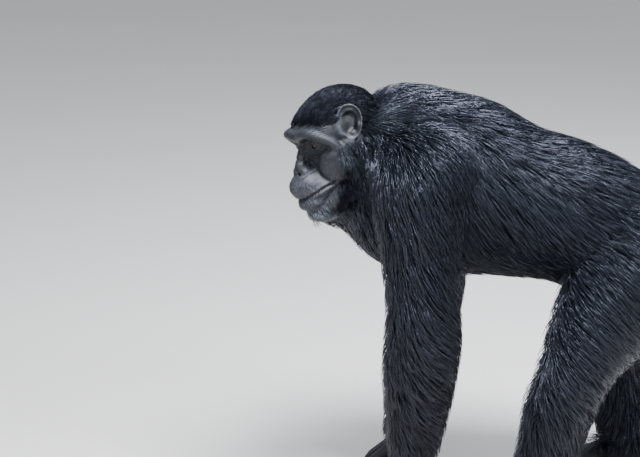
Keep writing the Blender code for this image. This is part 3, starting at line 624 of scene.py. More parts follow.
@dataclass(frozen=True)
class Arm:
    """An arm from the shoulder to the knuckles that carry it."""

    side: Side
    shoulder: Point
    elbow: Point
    wrist: Point
    yaw: float
    fingers: tuple = ((-0.030, 0.93, 0.0098), (-0.010, 1.03, 0.0106), (0.0105, 1.0, 0.0104), (0.030, 0.86, 0.0092))
    upper: tuple = ((0.0, 0.056, 0.064), (0.33, 0.052, 0.057), (0.70, 0.043, 0.047), (1.0, 0.041, 0.043))
    lower: tuple = (
        (0.0, 0.042, 0.044),
        (0.25, 0.044, 0.046),
        (0.55, 0.037, 0.039),
        (0.85, 0.029, 0.027),
        (1.0, 0.029, 0.024),
    )
    voxel: float = 2.1 * MM

    def masses(self) -> list[bpy.types.Object]:
        """The shoulder blade, the upper arm and the forearm."""
        centre = Vector(self.shoulder) + Vector((0.015, -0.030 * self.side.value, 0.015))
        upper = [(*Vector(self.shoulder).lerp(Vector(self.elbow), t), w, d) for t, w, d in self.upper]
        lower = [(*Vector(self.elbow).lerp(Vector(self.wrist), t), w, d) for t, w, d in self.lower]
        return [ellipsoid(centre, (0.085, 0.058, 0.068)), tube(upper, (0, 1, 0)), tube(lower, (0, 1, 0))]

    def place(self) -> Matrix:
        """The hand's own frame."""
        return limb_frame(self.wrist, self.yaw, self.side)

    def hand(self) -> bpy.types.Object:
        """The hand: palm upright, the middle joints of four fingers on the floor, the thumb beside."""
        place, wrist = self.place(), self.wrist[2]
        pieces = [
            tube(
                (
                    (0.0, 0.0, wrist + 0.012, 0.029, 0.023),
                    (0.002, 0.0, wrist - 0.025, 0.034, 0.021),
                    (0.010, 0.0, 0.060, 0.040, 0.018),
                ),
                (0, 1, 0),
                place,
            )
        ]
        for out, size, r in self.fingers:
            reach = 0.052 * size
            first = (
                (0.008, out, 0.062, r, r),
                (0.010 + reach * 0.45, out * 1.03, 0.040, r, r),
                (0.010 + reach, out * 1.05, r + 0.006, r, r),
            )
            last = (
                (0.011 + reach, out * 1.05, r + 0.001, r, r),
                (0.016, out * 1.02, r - 0.001, r, r),
                (-0.006, out, r + 0.007, r * 0.86, r * 0.86),
            )
            pieces += [tube(first, (0, 1, 0), place, 16), tube(last, (0, 1, 0), place, 16)]
            knuckle = (0.010 + reach * 0.10, out * 1.01, 0.062)
            pieces.append(ellipsoid(knuckle, (r * 1.1, r * 1.05, r * 1.15), place, 3))
        thumb = (
            (-0.004, -0.030, 0.092, 0.013, 0.013),
            (0.004, -0.046, 0.068, 0.0105, 0.0105),
            (0.014, -0.050, 0.040, 0.0085, 0.0085),
        )
        pieces.append(tube(thumb, (0, 1, 0), place, 16))
        return settled(melted("hand", pieces, self.voxel, 6))

    def end(self) -> Point:
        """The wrist."""
        return self.wrist

    @staticmethod
    def lines(local: np.ndarray) -> tuple[np.ndarray, np.ndarray]:
        """The way across the lines of the hand's skin, in millimetres, and their depth, at points in its frame."""
        x, z = local[:, 0], local[:, 2]
        across = np.where(z < 0.021, -x, 0.75 * x - 0.66 * z) / MM
        knuckle = bump(z - 0.060, 0.012) + bump(x - 0.050, 0.016) + smooth_step(z, 0.030, 0.012)
        return across, 0.8 + 1.3 * np.clip(knuckle, 0.0, 1.0)

    def nails(self) -> list[Nail]:
        """The nails of the folded fingers and the thumb, in the hand's frame."""
        found = [Nail((-0.014, out, r + 0.008), (-0.8, 0, -0.35), (-0.4, 0, 0.8), 0.0062, 0.006) for out, _, r in self.fingers]
        found.append(Nail((0.024, -0.052, 0.036), (0.9, -0.2, -0.1), (0.15, 0.0, -1.0), 0.0060, 0.0065))
        return found


@dataclass(frozen=True)
class Leg:
    """A leg from the hip to the sole."""

    side: Side
    hip: Point
    knee: Point
    ankle: Point
    yaw: float
    toes: tuple = ((-0.020, 1.00, 0.0105), (0.0, 1.05, 0.0108), (0.019, 0.98, 0.0102), (0.037, 0.86, 0.0094))
    thigh: tuple = (
        (0.0, 0.078, 0.090, 0.5),
        (0.35, 0.071, 0.088, 1.0),
        (0.72, 0.056, 0.064, 0.8),
        (1.0, 0.046, 0.047, 0.0),
    )
    shank: tuple = (
        (0.0, 0.045, 0.046, 0.0),
        (0.32, 0.043, 0.045, 1.0),
        (0.68, 0.035, 0.037, 0.6),
        (1.0, 0.030, 0.036, 0.3),
    )
    voxel: float = 2.4 * MM

    def masses(self) -> list[bpy.types.Object]:
        """The buttock, the thigh and the lower leg."""
        hip, knee, ankle = Vector(self.hip), Vector(self.knee), Vector(self.ankle)
        front, calf = Vector((-0.014, 0.0, 0.006)), Vector((-0.008, 0.0, 0.0))
        thigh = [(*(hip.lerp(knee, t) + front * b), w, d) for t, w, d, b in self.thigh]
        shank = [(*(knee.lerp(ankle, t) + calf * b), w, d) for t, w, d, b in self.shank]
        buttock = ellipsoid(hip + Vector((0.030, 0.0, -0.020)), (0.085, 0.070, 0.086))
        return [buttock, tube(thigh, (0, 1, 0)), tube(shank, (0, 1, 0))]

    def place(self) -> Matrix:
        """The foot's own frame."""
        return limb_frame(self.ankle, self.yaw, self.side)

    def foot(self) -> bpy.types.Object:
        """The flat foot with four toes and a big toe that stands away from them."""
        place, ankle = self.place(), self.ankle[2]
        pieces = [
            tube(((0.000, 0.0, ankle + 0.020, 0.029, 0.034), (-0.004, 0.0, 0.050, 0.030, 0.038)), (0, 1, 0), place),
            ellipsoid((-0.016, 0.0, 0.024), (0.034, 0.026, 0.025), place),
            tube(((-0.008, 0.0, ankle + 0.024, 0.022, 0.028), (-0.016, 0.0, 0.034, 0.026, 0.031)), (0, 1, 0), place),
            tube(
                (
                    (0.000, 0.0, 0.045, 0.032, 0.028),
                    (0.040, 0.003, 0.032, 0.036, 0.026),
                    (0.085, 0.006, 0.019, 0.040, 0.019),
                    (0.112, 0.008, 0.014, 0.038, 0.014),
                ),
                (0, 1, 0),
                place,
            ),
        ]
        for out, size, r in self.toes:
            reach = 0.052 * size
            toe = (
                (0.108, out + 0.004, 0.014, r, r),
                (0.112 + reach * 0.5, out + 0.006, 0.0165, r, r),
                (0.112 + reach, out + 0.006, r - 0.001, r * 0.9, r * 0.9),
            )
            pieces.append(tube(toe, (0, 1, 0), place, 16))
        big = (
            (0.030, -0.018, 0.022, 0.017, 0.017),
            (0.062, -0.048, 0.017, 0.0145, 0.0145),
            (0.092, -0.068, 0.0125, 0.0135, 0.0125),
        )
        pieces.append(tube(big, (0, 1, 0), place, 16))
        return settled(melted("foot", pieces, self.voxel, 5))

    def end(self) -> Point:
        """The ankle."""
        return self.ankle

    @staticmethod
    def lines(local: np.ndarray) -> tuple[np.ndarray, np.ndarray]:
        """The way across the lines of the foot's skin, in millimetres, and their depth, at points in its frame."""
        x, z = local[:, 0], local[:, 2]
        across = np.where(x < 0.020, z + 0.3 * x, x + 0.3 * z) / MM
        joints = bump(x - 0.112, 0.012) + bump(x - 0.140, 0.010) + bump(x - 0.020, 0.022)
        return across, 0.7 + 1.3 * np.clip(joints, 0.0, 1.0)

    def nails(self) -> list[Nail]:
        """The nails of the toes, in the foot's frame."""
        found = [
            Nail((0.116 + 0.052 * size, out + 0.006, r * 1.75), (0.55, 0, 0.85), (0.85, 0, -0.55), 0.0062, 0.0062)
            for out, size, r in self.toes
        ]
        found.append(Nail((0.097, -0.071, 0.0235), (0.35, -0.20, 0.90), (0.75, -0.5, -0.35), 0.0085, 0.0080))
        return found


ARMS = (
    Arm(Side.LEFT, (-0.150, -0.150, 0.625), (-0.138, -0.186, 0.405), (-0.156, -0.170, 0.122), 6.0),
    Arm(Side.RIGHT, (-0.150, 0.150, 0.620), (-0.108, 0.184, 0.410), (-0.158, 0.150, 0.122), -10.0),
)
LEGS = (
    Leg(Side.LEFT, (0.272, -0.082, 0.470), (0.128, -0.165, 0.292), (0.076, -0.150, 0.080), 10.0),
    Leg(Side.RIGHT, (0.282, 0.082, 0.462), (0.205, 0.160, 0.290), (0.262, 0.132, 0.082), -12.0),
)


@dataclass(frozen=True)
class Ear:
    """A large cupped ear. Its sizes are in the head's millimetres."""

    at: Point = (13.0, 68.0, 32.5)
    half_width: float = 21.5
    half_height: float = 30.5
    sides: int = 48
    # From the bottom of the cup over the rim to the root: share of its size, and how far it stands out.
    profile: tuple = (
        (0.10, -15.0),
        (0.26, -14.5),
        (0.38, -12.0),
        (0.48, -9.0),
        (0.56, -6.8),
        (0.64, -5.2),
        (0.72, -4.6),
        (0.80, -4.2),
        (0.86, -2.2),
        (0.91, 1.2),
        (0.96, 2.2),
        (1.00, 0.6),
        (0.985, -1.6),
        (0.93, -3.6),
        (0.84, -6.0),
        (0.74, -8.5),
        (0.56, -14.0),
        (0.48, -24.0),
    )

    def axes(self, sign: float) -> tuple[np.ndarray, np.ndarray, np.ndarray]:
        """The ear's outward, upward and forward directions. The sign is 1 on the animal's left."""
        outward = unit(np.array((0.42, 0.88 * sign, 0.10)))
        up = np.array((-0.22, 0.0, 1.0))
        up = unit(up - outward * up.dot(outward))
        return outward, up, np.cross(up, outward) * sign

    def built(self, sign: float, place: Matrix) -> bpy.types.Object:
        """The ear, with the ridge inside the rim and the tongue in front of the ear's hole.

        Args:
            sign: 1 for the animal's left ear, -1 for its right.
            place: the head's frame.

        Returns:
            The closed ear.
        """
        outward, up, front = self.axes(sign)
        at = np.array((self.at[0], self.at[1] * sign, self.at[2]))
        angle = np.linspace(0.0, math.tau, self.sides, endpoint=False)
        bm = bmesh.new()
        loops = []
        for k, (share, depth) in enumerate(self.profile):
            inside = 1.0 if k < 9 else 0.0
            ridge = 4.6 * bump(share - 0.60, 0.10) * smooth_step(np.cos(angle - 2.4), -0.45, 0.4)
            tongue = 8.0 * bump(share - 0.60, 0.20) * bump(np.angle(np.exp(1j * (angle + 0.45))), 0.38)
            tongue += 5.0 * bump(share - 0.60, 0.16) * bump(np.angle(np.exp(1j * (angle + 1.55))), 0.35)
            lobe = 1.0 + 0.04 * np.cos(angle - 1.9)
            wide = self.half_width * (1 + 0.10 * np.sin(angle)) * share * lobe
            stands = depth + inside * (ridge + tongue)
            ring = at + np.outer(stands, outward) + np.outer(wide * np.cos(angle), front)
            ring += np.outer(self.half_height * share * np.sin(angle), up)
            loops.append([bm.verts.new(place @ Vector(point)) for point in ring])
        for near, far in zip(loops, loops[1:]):
            for s in range(self.sides):
                bm.faces.new((near[s], near[(s + 1) % self.sides], far[(s + 1) % self.sides], far[s]))
        bm.faces.new(loops[0])
        bm.faces.new(loops[-1])
        return from_bmesh("ear", bm)

    def rim(self, local: np.ndarray) -> np.ndarray:
        """How much each point lies on the standing rim of an ear, from 0 to 1: where a painted highlight goes."""
        share = np.zeros(len(local))
        for sign in (1.0, -1.0):
            away = local - np.array((self.at[0], self.at[1] * sign, self.at[2]))
            outward, up, front = self.axes(sign)
            reach = np.hypot(away @ front / self.half_width, away @ up / self.half_height)
            on_rim = smooth_step(away @ outward, -3.5, 0.5) * smooth_step(reach, 0.80, 0.90) * smooth_step(reach, 1.16, 1.06)
            share = np.maximum(share, on_rim * (np.linalg.norm(away, axis=1) < 1.3 * self.half_height))
        return share

    def covers(self, local: np.ndarray, margin: float = 1.0) -> np.ndarray:
        """How much each point belongs to an ear.

        Args:
            local: the points, in the head's millimetres.
            margin: how many times the ear's own size the region is.

        Returns:
            1 on it and 0 off it.
        """
        share = np.zeros(len(local))
        for sign in (1.0, -1.0):
            outward, up, front = self.axes(sign)
            away = local - np.array((self.at[0], self.at[1] * sign, self.at[2]))
            round_it = np.hypot(away @ front / (self.half_width * 1.12), away @ up / (self.half_height * 1.10))
            on = smooth_step(round_it, margin + 0.12, margin - 0.02)
            on *= smooth_step(away @ outward, -18.0 * margin, -13.0 * margin)
            share = np.maximum(share, on)
        return share


@dataclass(frozen=True)
class Head:
    """The head: its masses, its openings and the folds of its face, in its own millimetres."""

    at: Point = (-0.275, -0.030, 0.681)
    yaw: float = 34.0
    pitch: float = 19.0
    roll: float = 12.0
    size: float = 1.05
    eye_at: Point = (63.0, 27.0, 17.0)
    eye_radius: float = 10.6
    lid: float = 2.1
    socket_gap: float = 0.3
    mouth_half: float = 41.0
    voxel: float = 1.6 * MM
    ear: Ear = Ear()

    def place(self) -> Matrix:
        """The matrix from the head's own millimetres (forward, left, up) to the body's metres."""
        yaw, pitch, roll = (math.radians(a) for a in (self.yaw, self.pitch, self.roll))
        forward = Vector((-math.cos(yaw) * math.cos(pitch), -math.sin(yaw) * math.cos(pitch), -math.sin(pitch)))
        left = Vector((math.sin(yaw), -math.cos(yaw), 0.0))
        left.rotate(Matrix.Rotation(roll, 3, forward))
        turn = Matrix((forward, left, forward.cross(left))).transposed().to_4x4()
        return Matrix.Translation(self.at) @ turn @ Matrix.Scale(MM * self.size, 4)

    def local(self, points: np.ndarray) -> np.ndarray:
        """The points in the head's own millimetres."""
        back = np.array(self.place().inverted())
        return points @ back[:3, :3].T + back[:3, 3]

    def masses(self) -> list[bpy.types.Object]:
        """Skull, brow, cheeks, muzzle, jaw and nose, as ellipsoids and tubes."""
        place = self.place()
        up = place.to_3x3() @ Vector((0, 0, 1))
        pieces = [
            ellipsoid((5, 0, 29), (70, 61, 51), place),
            ellipsoid((48, 0, 37), (33, 48, 19), place),
            ellipsoid((40, 0, -8), (44, 50, 50), place),
            ellipsoid((72, 0, -52), (50, 36, 32), place),
            ellipsoid((94, 0, -42), (35, 31, 25), place),
            ellipsoid((97, 0, -72), (28, 27, 15), place),
            ellipsoid((86, 0, -90), (30, 26, 22), place),
            ellipsoid((34, 0, -62), (46, 38, 32), place),
            ellipsoid((98, 0, -13), (12, 13, 8), place),
            tube(((74, 0, 26, 7, 7), (88, 0, 6, 7.5, 7), (97, 0, -9, 9, 8)), up, place),
            tube(
                (
                    (46, -52, 2, 8, 11),
                    (57, -49, 18, 9, 11),
                    (69, -40, 32, 10.5, 12),
                    (77, -24, 39, 11, 13),
                    (79, 0, 35, 9.5, 11),
                    (77, 24, 39, 11, 13),
                    (69, 40, 32, 10.5, 12),
                    (57, 49, 18, 9, 11),
                    (46, 52, 2, 8, 11),
                ),
                up,
                place,
            ),
        ]
        for s in (-1, 1):
            pieces += [
                tube(((66, 36 * s, -9, 13, 11), (50, 47 * s, -8, 15, 13), (22, 55 * s, -2, 14, 13)), up, place),
                tube(
                    (
                        (12, 48 * s, -6, 18, 24),
                        (14, 46 * s, -46, 17, 24),
                        (44, 36 * s, -72, 17, 19),
                        (82, 16 * s, -88, 14, 15),
                    ),
                    (0, 1, 0),
                    place,
                ),
                ellipsoid((50, 32 * s, -28), (32, 22, 34), place),
                ellipsoid((34, 43 * s, -28), (33, 20, 38), place),
                ellipsoid((30, 43 * s, 30), (38, 19, 30), place),
                ellipsoid((99, 11 * s, -17), (8.5, 8.5, 6.5), place),
                self.ear.built(s, place),
            ]
        return pieces

    def pressed(self, obj: bpy.types.Object) -> None:
        """Presses the eyes' hollows, the cheeks' and the forehead's, as on the solid."""
        place = np.array(self.place())
        points = places(obj.data)
        local = self.local(points)
        presses = [((92, 0, 60), 16, (-5, 0, 0))]
        for s in (-1, 1):
            presses += [((84, 27 * s, 15), 15, (-15, 0, 0)), ((70, 44 * s, -30), 14, (-5, -3 * s, 0))]
        for centre, radius, move in presses:
            away = np.linalg.norm(local - np.array(centre), axis=1) / radius
            points += np.outer(np.exp(-away * away) * (away < 2.6), place[:3, :3] @ np.array(move, float))
        moved(obj.data, points)

    def lids(self, s: int) -> bpy.types.Object:
        """The ball of skin over an eye, which its slit opens."""
        x, y, z = self.eye_at
        return ellipsoid((x, y * s, z), (self.eye_radius + self.lid,) * 3, self.place())

    def openings(self) -> list[bpy.types.Object]:
        """What is cut from the head: the eyes' sockets and slits, and the nostrils."""
        place = self.place()
        x, y, z = self.eye_at
        cuts = []
        for s in (-1, 1):
            cuts += [
                ellipsoid((x, y * s, z), (self.eye_radius + self.socket_gap,) * 3, place),
                ellipsoid((x + 10, y * s, z - 0.5), (12, 9.6, 4.4), place),
                ellipsoid((108, 8.5 * s, -19), (6.5, 4.2, 2.8), place, 3),
            ]
        return cuts

    def relief(self, local: np.ndarray) -> np.ndarray:
        """How far the folds of the face stand out of or sink into the skin at each point, in millimetres."""
        u, v, w = local.T
        across = v / self.mouth_half
        mouth = smooth_step(np.abs(across), 1.10, 0.92) * (u > 60)
        above = w - (-60.0 + 9.0 * across**2)
        depth = mouth * (-3.6 * bump(above, 1.5) + 1.3 * bump(above - 4.6, 2.8) + 1.7 * bump(above + 5.0, 3.2))
        lip = (u > 75) * smooth_step(w, -57, -50) * smooth_step(w, -22, -32)
        depth += lip * 0.28 * np.cos(v * math.tau / 5.2 + 0.6 * np.sin(w / 4.0)) * smooth_step(np.abs(v), 36, 24)
        chin = (u > 80) * smooth_step(w, -66, -72) * smooth_step(w, -98, -88)
        depth += chin * 0.25 * np.cos(v * math.tau / 6.0 + 1.0)
        depth += -0.5 * bump(v, 1.8) * (u > 90) * smooth_step(w, -26, -30) * smooth_step(w, -54, -46)
        for s in (-1, 1):
            side, rise = (v - self.eye_at[1] * s) * s, w - self.eye_at[2]
            ring = np.hypot(side * 0.90, rise)
            front = (u > 40) * (v * s > 0)
            below = smooth_step(rise, -1.0, -8.0) * front
            for radius, fold in ((16.0, 0.8), (20.5, 1.1), (25.5, 0.9)):
                depth += below * (-fold * bump(ring - radius, 1.5) + 0.5 * fold * bump(ring - radius + 2.6, 1.8))
            lid = smooth_step(rise, 3.0, 7.0) * front
            depth += lid * (-0.9 * bump(ring - 14.5, 1.3) + 0.5 * bump(ring - 12.2, 1.3))
            wing = np.hypot(v - 10.5 * s, w + 17.5)
            outer = smooth_step(v * s, 6.0, 12.0) + smooth_step(w, -16.0, -12.0)
            depth += -1.0 * bump(wing - 10.5, 1.5) * (u > 80) * np.clip(outer, 0.0, 1.0)
            start, end = np.array((15.0 * s, -8.0)), np.array((37.0 * s, -46.0))
            line = end - start
            share = np.clip(((v - start[0]) * line[0] + (w - start[1]) * line[1]) / (line @ line), 0, 1)
            off = np.hypot(v - start[0] - share * line[0], w - start[1] - share * line[1])
            depth += -1.1 * bump(off, 2.0) * (u > 60)
        bridge = bump(v, 11.0) * (u > 70) * smooth_step(w, -4, 3) * smooth_step(w, 30, 22)
        depth += bridge * 0.35 * np.cos(w * math.tau / 6.2)
        frown = bump(v, 9.0) * (u > 70) * smooth_step(w, 30, 36) * smooth_step(w, 56, 48)
        depth += frown * -0.6 * bump(np.abs(v) - 4.0, 1.4)
        return depth

    def lines(self, local: np.ndarray) -> tuple[np.ndarray, np.ndarray]:
        """The fine lines of the face, which the skin's finish draws.

        Args:
            local: points, in the head's millimetres.

        Returns:
            The way across the lines, in millimetres, and how deep they are there.
        """
        u, v, w = local[:, 0], np.abs(local[:, 1]), local[:, 2]
        ring = np.hypot((v - self.eye_at[1]) * 0.9, w - self.eye_at[2])
        below = smooth_step(w, 14, 4) * smooth_step(ring, 11, 15) * smooth_step(ring, 46, 30)
        front = smooth_step(u, 44, 58)
        across = np.array([w + 0.1 * v, ring, v + 0.25 * w, w, 0.8 * v - 0.6 * w])
        shares = np.array(
            [
                0.8 * smooth_step(w, 24, 32) * smooth_step(w, 56, 46) * front,
                0.8 * below * front,
                0.9 * smooth_step(u, 70, 80) * smooth_step(w, -30, -38) * smooth_step(v, 44, 30),
                0.9 * bump(v, 10.0) * smooth_step(u, 68, 76) * smooth_step(w, -6, 2) * smooth_step(w, 28, 20),
                0.3 * smooth_step(v, 26, 36) * smooth_step(w, -14, -24),
            ]
        )
        # The lines fade out where two regions meet.
        fold = across[shares.argmax(axis=0), np.arange(len(local))]
        ranked = np.sort(shares, axis=0)
        return fold, ranked[-1] - ranked[-2]

    def built(self) -> bpy.types.Object:
        """The finished head, with its ears, lids, mouth, nostrils and folds."""
        obj = melted("head", self.masses(), self.voxel * 1.1, 12)
        self.pressed(obj)
        combined(obj, [self.lids(s) for s in (-1, 1)], "UNION")
        obj = melted("head", [obj], self.voxel, 3)
        combined(obj, self.openings(), "DIFFERENCE")
        points = places(obj.data)
        relief = self.relief(self.local(points)) * (1.0 - self.ear.covers(self.local(points)))
        moved(obj.data, points + facings(obj.data) * (relief * MM * self.size)[:, None])
        return obj


# ---- how the coat lies


@dataclass(frozen=True)
class Guide:
    """The coat at a place: which way it lies, how long its locks are and how far they stand off."""

    at: Point
    lie: Point
    length: float
    height: float


TRUNK_GUIDES = (
    Guide((-0.230, 0.000, 0.745), (1.0, 0.00, -0.15), 0.118, 0.015),
    Guide((-0.130, 0.000, 0.760), (1.0, 0.00, -0.30), 0.134, 0.015),
    Guide((0.050, 0.000, 0.690), (1.0, 0.00, -0.35), 0.140, 0.014),
    Guide((0.220, 0.000, 0.600), (1.0, 0.00, -0.60), 0.140, 0.014),
    Guide((0.340, 0.000, 0.480), (0.5, 0.00, -1.00), 0.112, 0.013),
    Guide((0.330, 0.090, 0.440), (0.5, 0.10, -1.00), 0.112, 0.013),
    Guide((-0.235, 0.085, 0.665), (0.8, 0.35, -0.75), 0.123, 0.016),
    Guide((-0.080, 0.140, 0.660), (0.6, 0.10, -0.90), 0.134, 0.015),
    Guide((0.030, 0.150, 0.580), (0.7, 0.05, -0.80), 0.140, 0.015),
    Guide((0.150, 0.140, 0.540), (0.8, 0.05, -0.60), 0.134, 0.014),
    Guide((0.020, 0.100, 0.460), (1.0, 0.00, -0.30), 0.123, 0.012),
    Guide((0.020, 0.000, 0.430), (1.0, 0.00, -0.10), 0.112, 0.011),
    Guide((-0.250, 0.000, 0.520), (0.5, 0.00, -1.00), 0.112, 0.012),
)
# The same for the head, in its own millimetres, for its left half.
HEAD_GUIDES = (
    Guide((60.0, 0.0, 66.0), (-1.0, 0.0, 0.3), 38.0, 6.0),
    Guide((0.0, 0.0, 82.0), (-1.0, 0.0, -0.1), 58.0, 9.0),
    Guide((-58.0, 0.0, 40.0), (-0.5, 0.0, -1.0), 60.0, 10.0),
    Guide((25.0, 58.0, 56.0), (-1.0, 0.1, -0.2), 42.0, 7.0),
    Guide((-30.0, 58.0, 15.0), (-0.7, 0.2, -1.0), 56.0, 9.0),
    Guide((40.0, 56.0, 22.0), (-0.6, 0.3, 0.5), 14.0, 3.0),
    Guide((50.0, 58.0, 0.0), (0.7, 0.1, -1.0), 32.0, 7.0),
    Guide((42.0, 52.0, -30.0), (0.4, 0.3, -1.0), 42.0, 8.0),
    Guide((58.0, 38.0, -70.0), (0.2, 0.2, -1.0), 40.0, 8.0),
    Guide((5.0, 57.0, -45.0), (-0.4, 0.4, -1.0), 52.0, 9.0),
    Guide((35.0, 20.0, -95.0), (-0.3, 0.1, -1.0), 44.0, 9.0),
    Guide((94.0, 0.0, -96.0), (0.0, 0.0, -1.0), 13.0, 3.5),
)


@dataclass
class Lie:
    """The lie, length and height of the coat anywhere on the body, blended from guides."""

    head: Head
    reach: float = 0.020
    guides: list[Guide] = field(default_factory=list)

    def __post_init__(self) -> None:
        """Gathers the guides of trunk, head and limbs."""
        self.guides = self.both_sides(TRUNK_GUIDES)
        place = self.head.place()
        for guide in self.both_sides(HEAD_GUIDES):
            scale = MM * self.head.size
            way = place.to_3x3() @ Vector(guide.lie)
            self.guides.append(Guide(place @ Vector(guide.at), way, guide.length * scale, guide.height * scale))
        for arm, leg in zip(ARMS, LEGS):
            self.guides += self.limb_guides(arm, leg)

    @staticmethod
    def both_sides(guides: Sequence[Guide]) -> list[Guide]:
        """The guides and their mirror images."""
        mirrored = [
            Guide((g.at[0], -g.at[1], g.at[2]), (g.lie[0], -g.lie[1], g.lie[2]), g.length, g.height)
            for g in guides
            if g.at[1]
        ]
        return list(guides) + mirrored

    @staticmethod
    def limb_guides(arm: Arm, leg: Leg) -> list[Guide]:
        """Guides beside one side's limbs, as for the solids."""
        shoulder, elbow, wrist = Vector(arm.shoulder), Vector(arm.elbow), Vector(arm.wrist)
        hip, knee, ankle = Vector(leg.hip), Vector(leg.knee), Vector(leg.ankle)
        sign = arm.side.value
        back = Vector((0.045, 0.0, 0.0))
        return [
            Guide(shoulder, (0.25, 0.25 * sign, -1.0), 0.120, 0.015),
            Guide(shoulder.lerp(elbow, 0.55), (0.30, 0.0, -1.0), 0.115, 0.016),
            Guide(elbow.lerp(wrist, 0.10) - back, (0.25, 0.0, -1.0), 0.100, 0.014),
            Guide(elbow.lerp(wrist, 0.15) + back, (0.90, 0.0, -0.60), 0.105, 0.018),
            Guide(elbow.lerp(wrist, 0.60) - back, (0.20, 0.0, -1.0), 0.085, 0.012),
            Guide(elbow.lerp(wrist, 0.60) + back, (0.90, 0.0, -0.50), 0.090, 0.017),
            Guide(wrist, (0.25, 0.0, -1.0), 0.060, 0.009),
            Guide(wrist - Vector((0.015, 0.0, 0.060)), (-0.35, 0.0, -1.0), 0.030, 0.004),
            Guide(hip.lerp(knee, 0.30), (0.60, 0.05 * sign, -0.80), 0.115, 0.014),
            Guide(hip.lerp(knee, 0.75), (0.75, 0.05 * sign, -0.65), 0.105, 0.014),
            Guide(knee.lerp(ankle, 0.05), (0.70, 0.0, -0.80), 0.095, 0.014),
            Guide(knee.lerp(ankle, 0.45), (0.10, 0.0, -1.0), 0.095, 0.015),
            Guide(ankle - back, (-0.25, 0.0, -1.0), 0.060, 0.017),
            Guide(ankle + back, (0.30, 0.0, -1.0), 0.060, 0.012),
        ]

    def at(self, points: np.ndarray, out: np.ndarray) -> tuple[np.ndarray, np.ndarray, np.ndarray]:
        """The coat at points on the skin.

        Args:
            points: where.
            out: the skin's normals there.

        Returns:
            The lie along the skin, the locks' length and how far they stand off.
        """
        at = np.array([tuple(g.at) for g in self.guides])
        values = np.array([(*Vector(g.lie).normalized(), g.length, g.height) for g in self.guides])
        weight = 1.0 / (((points[:, None, :] - at) ** 2).sum(axis=2) + self.reach**2) ** 2
        value = (weight @ values) / weight.sum(axis=1, keepdims=True)
        lie = value[:, :3]
        lie = unit(lie - out * (lie * out).sum(axis=1, keepdims=True) * 0.92)
        return lie, value[:, 3], value[:, 4]


@dataclass(frozen=True)
class Bone:
    """A stretch of the body: the skin nearest to it, for its size, is one region of the coat."""

    name: str
    start: Point
    end: Point
    radius: float

    def nearness(self, points: np.ndarray) -> np.ndarray:
        """Each point's distance from the bone, over its radius."""
        start, line = np.array(self.start), np.array(self.end) - np.array(self.start)
        share = np.clip((points - start) @ line / (line @ line), 0.0, 1.0)
        return np.linalg.norm(points - start - np.outer(share, line), axis=1) / self.radius

    def unwrapped(self, points: np.ndarray, margin: float = 0.35) -> np.ndarray:
        """The points' places on the skin unrolled round the bone: the turn and the way along it, from 0 to 1."""
        start, line = np.array(self.start), np.array(self.end) - np.array(self.start)
        axis = unit(line)
        first = unit(np.cross(axis, (0.31, 0.87, 0.39)))
        second = np.cross(axis, first)
        away = points - start
        turn = np.arctan2(away @ second, away @ first) / math.tau + 0.5
        along = (away @ line / (line @ line) + margin) / (1.0 + 2.0 * margin)
        return 0.01 + 0.98 * np.clip(np.column_stack([turn, along]), 0.0, 1.0)


# ---- the skin


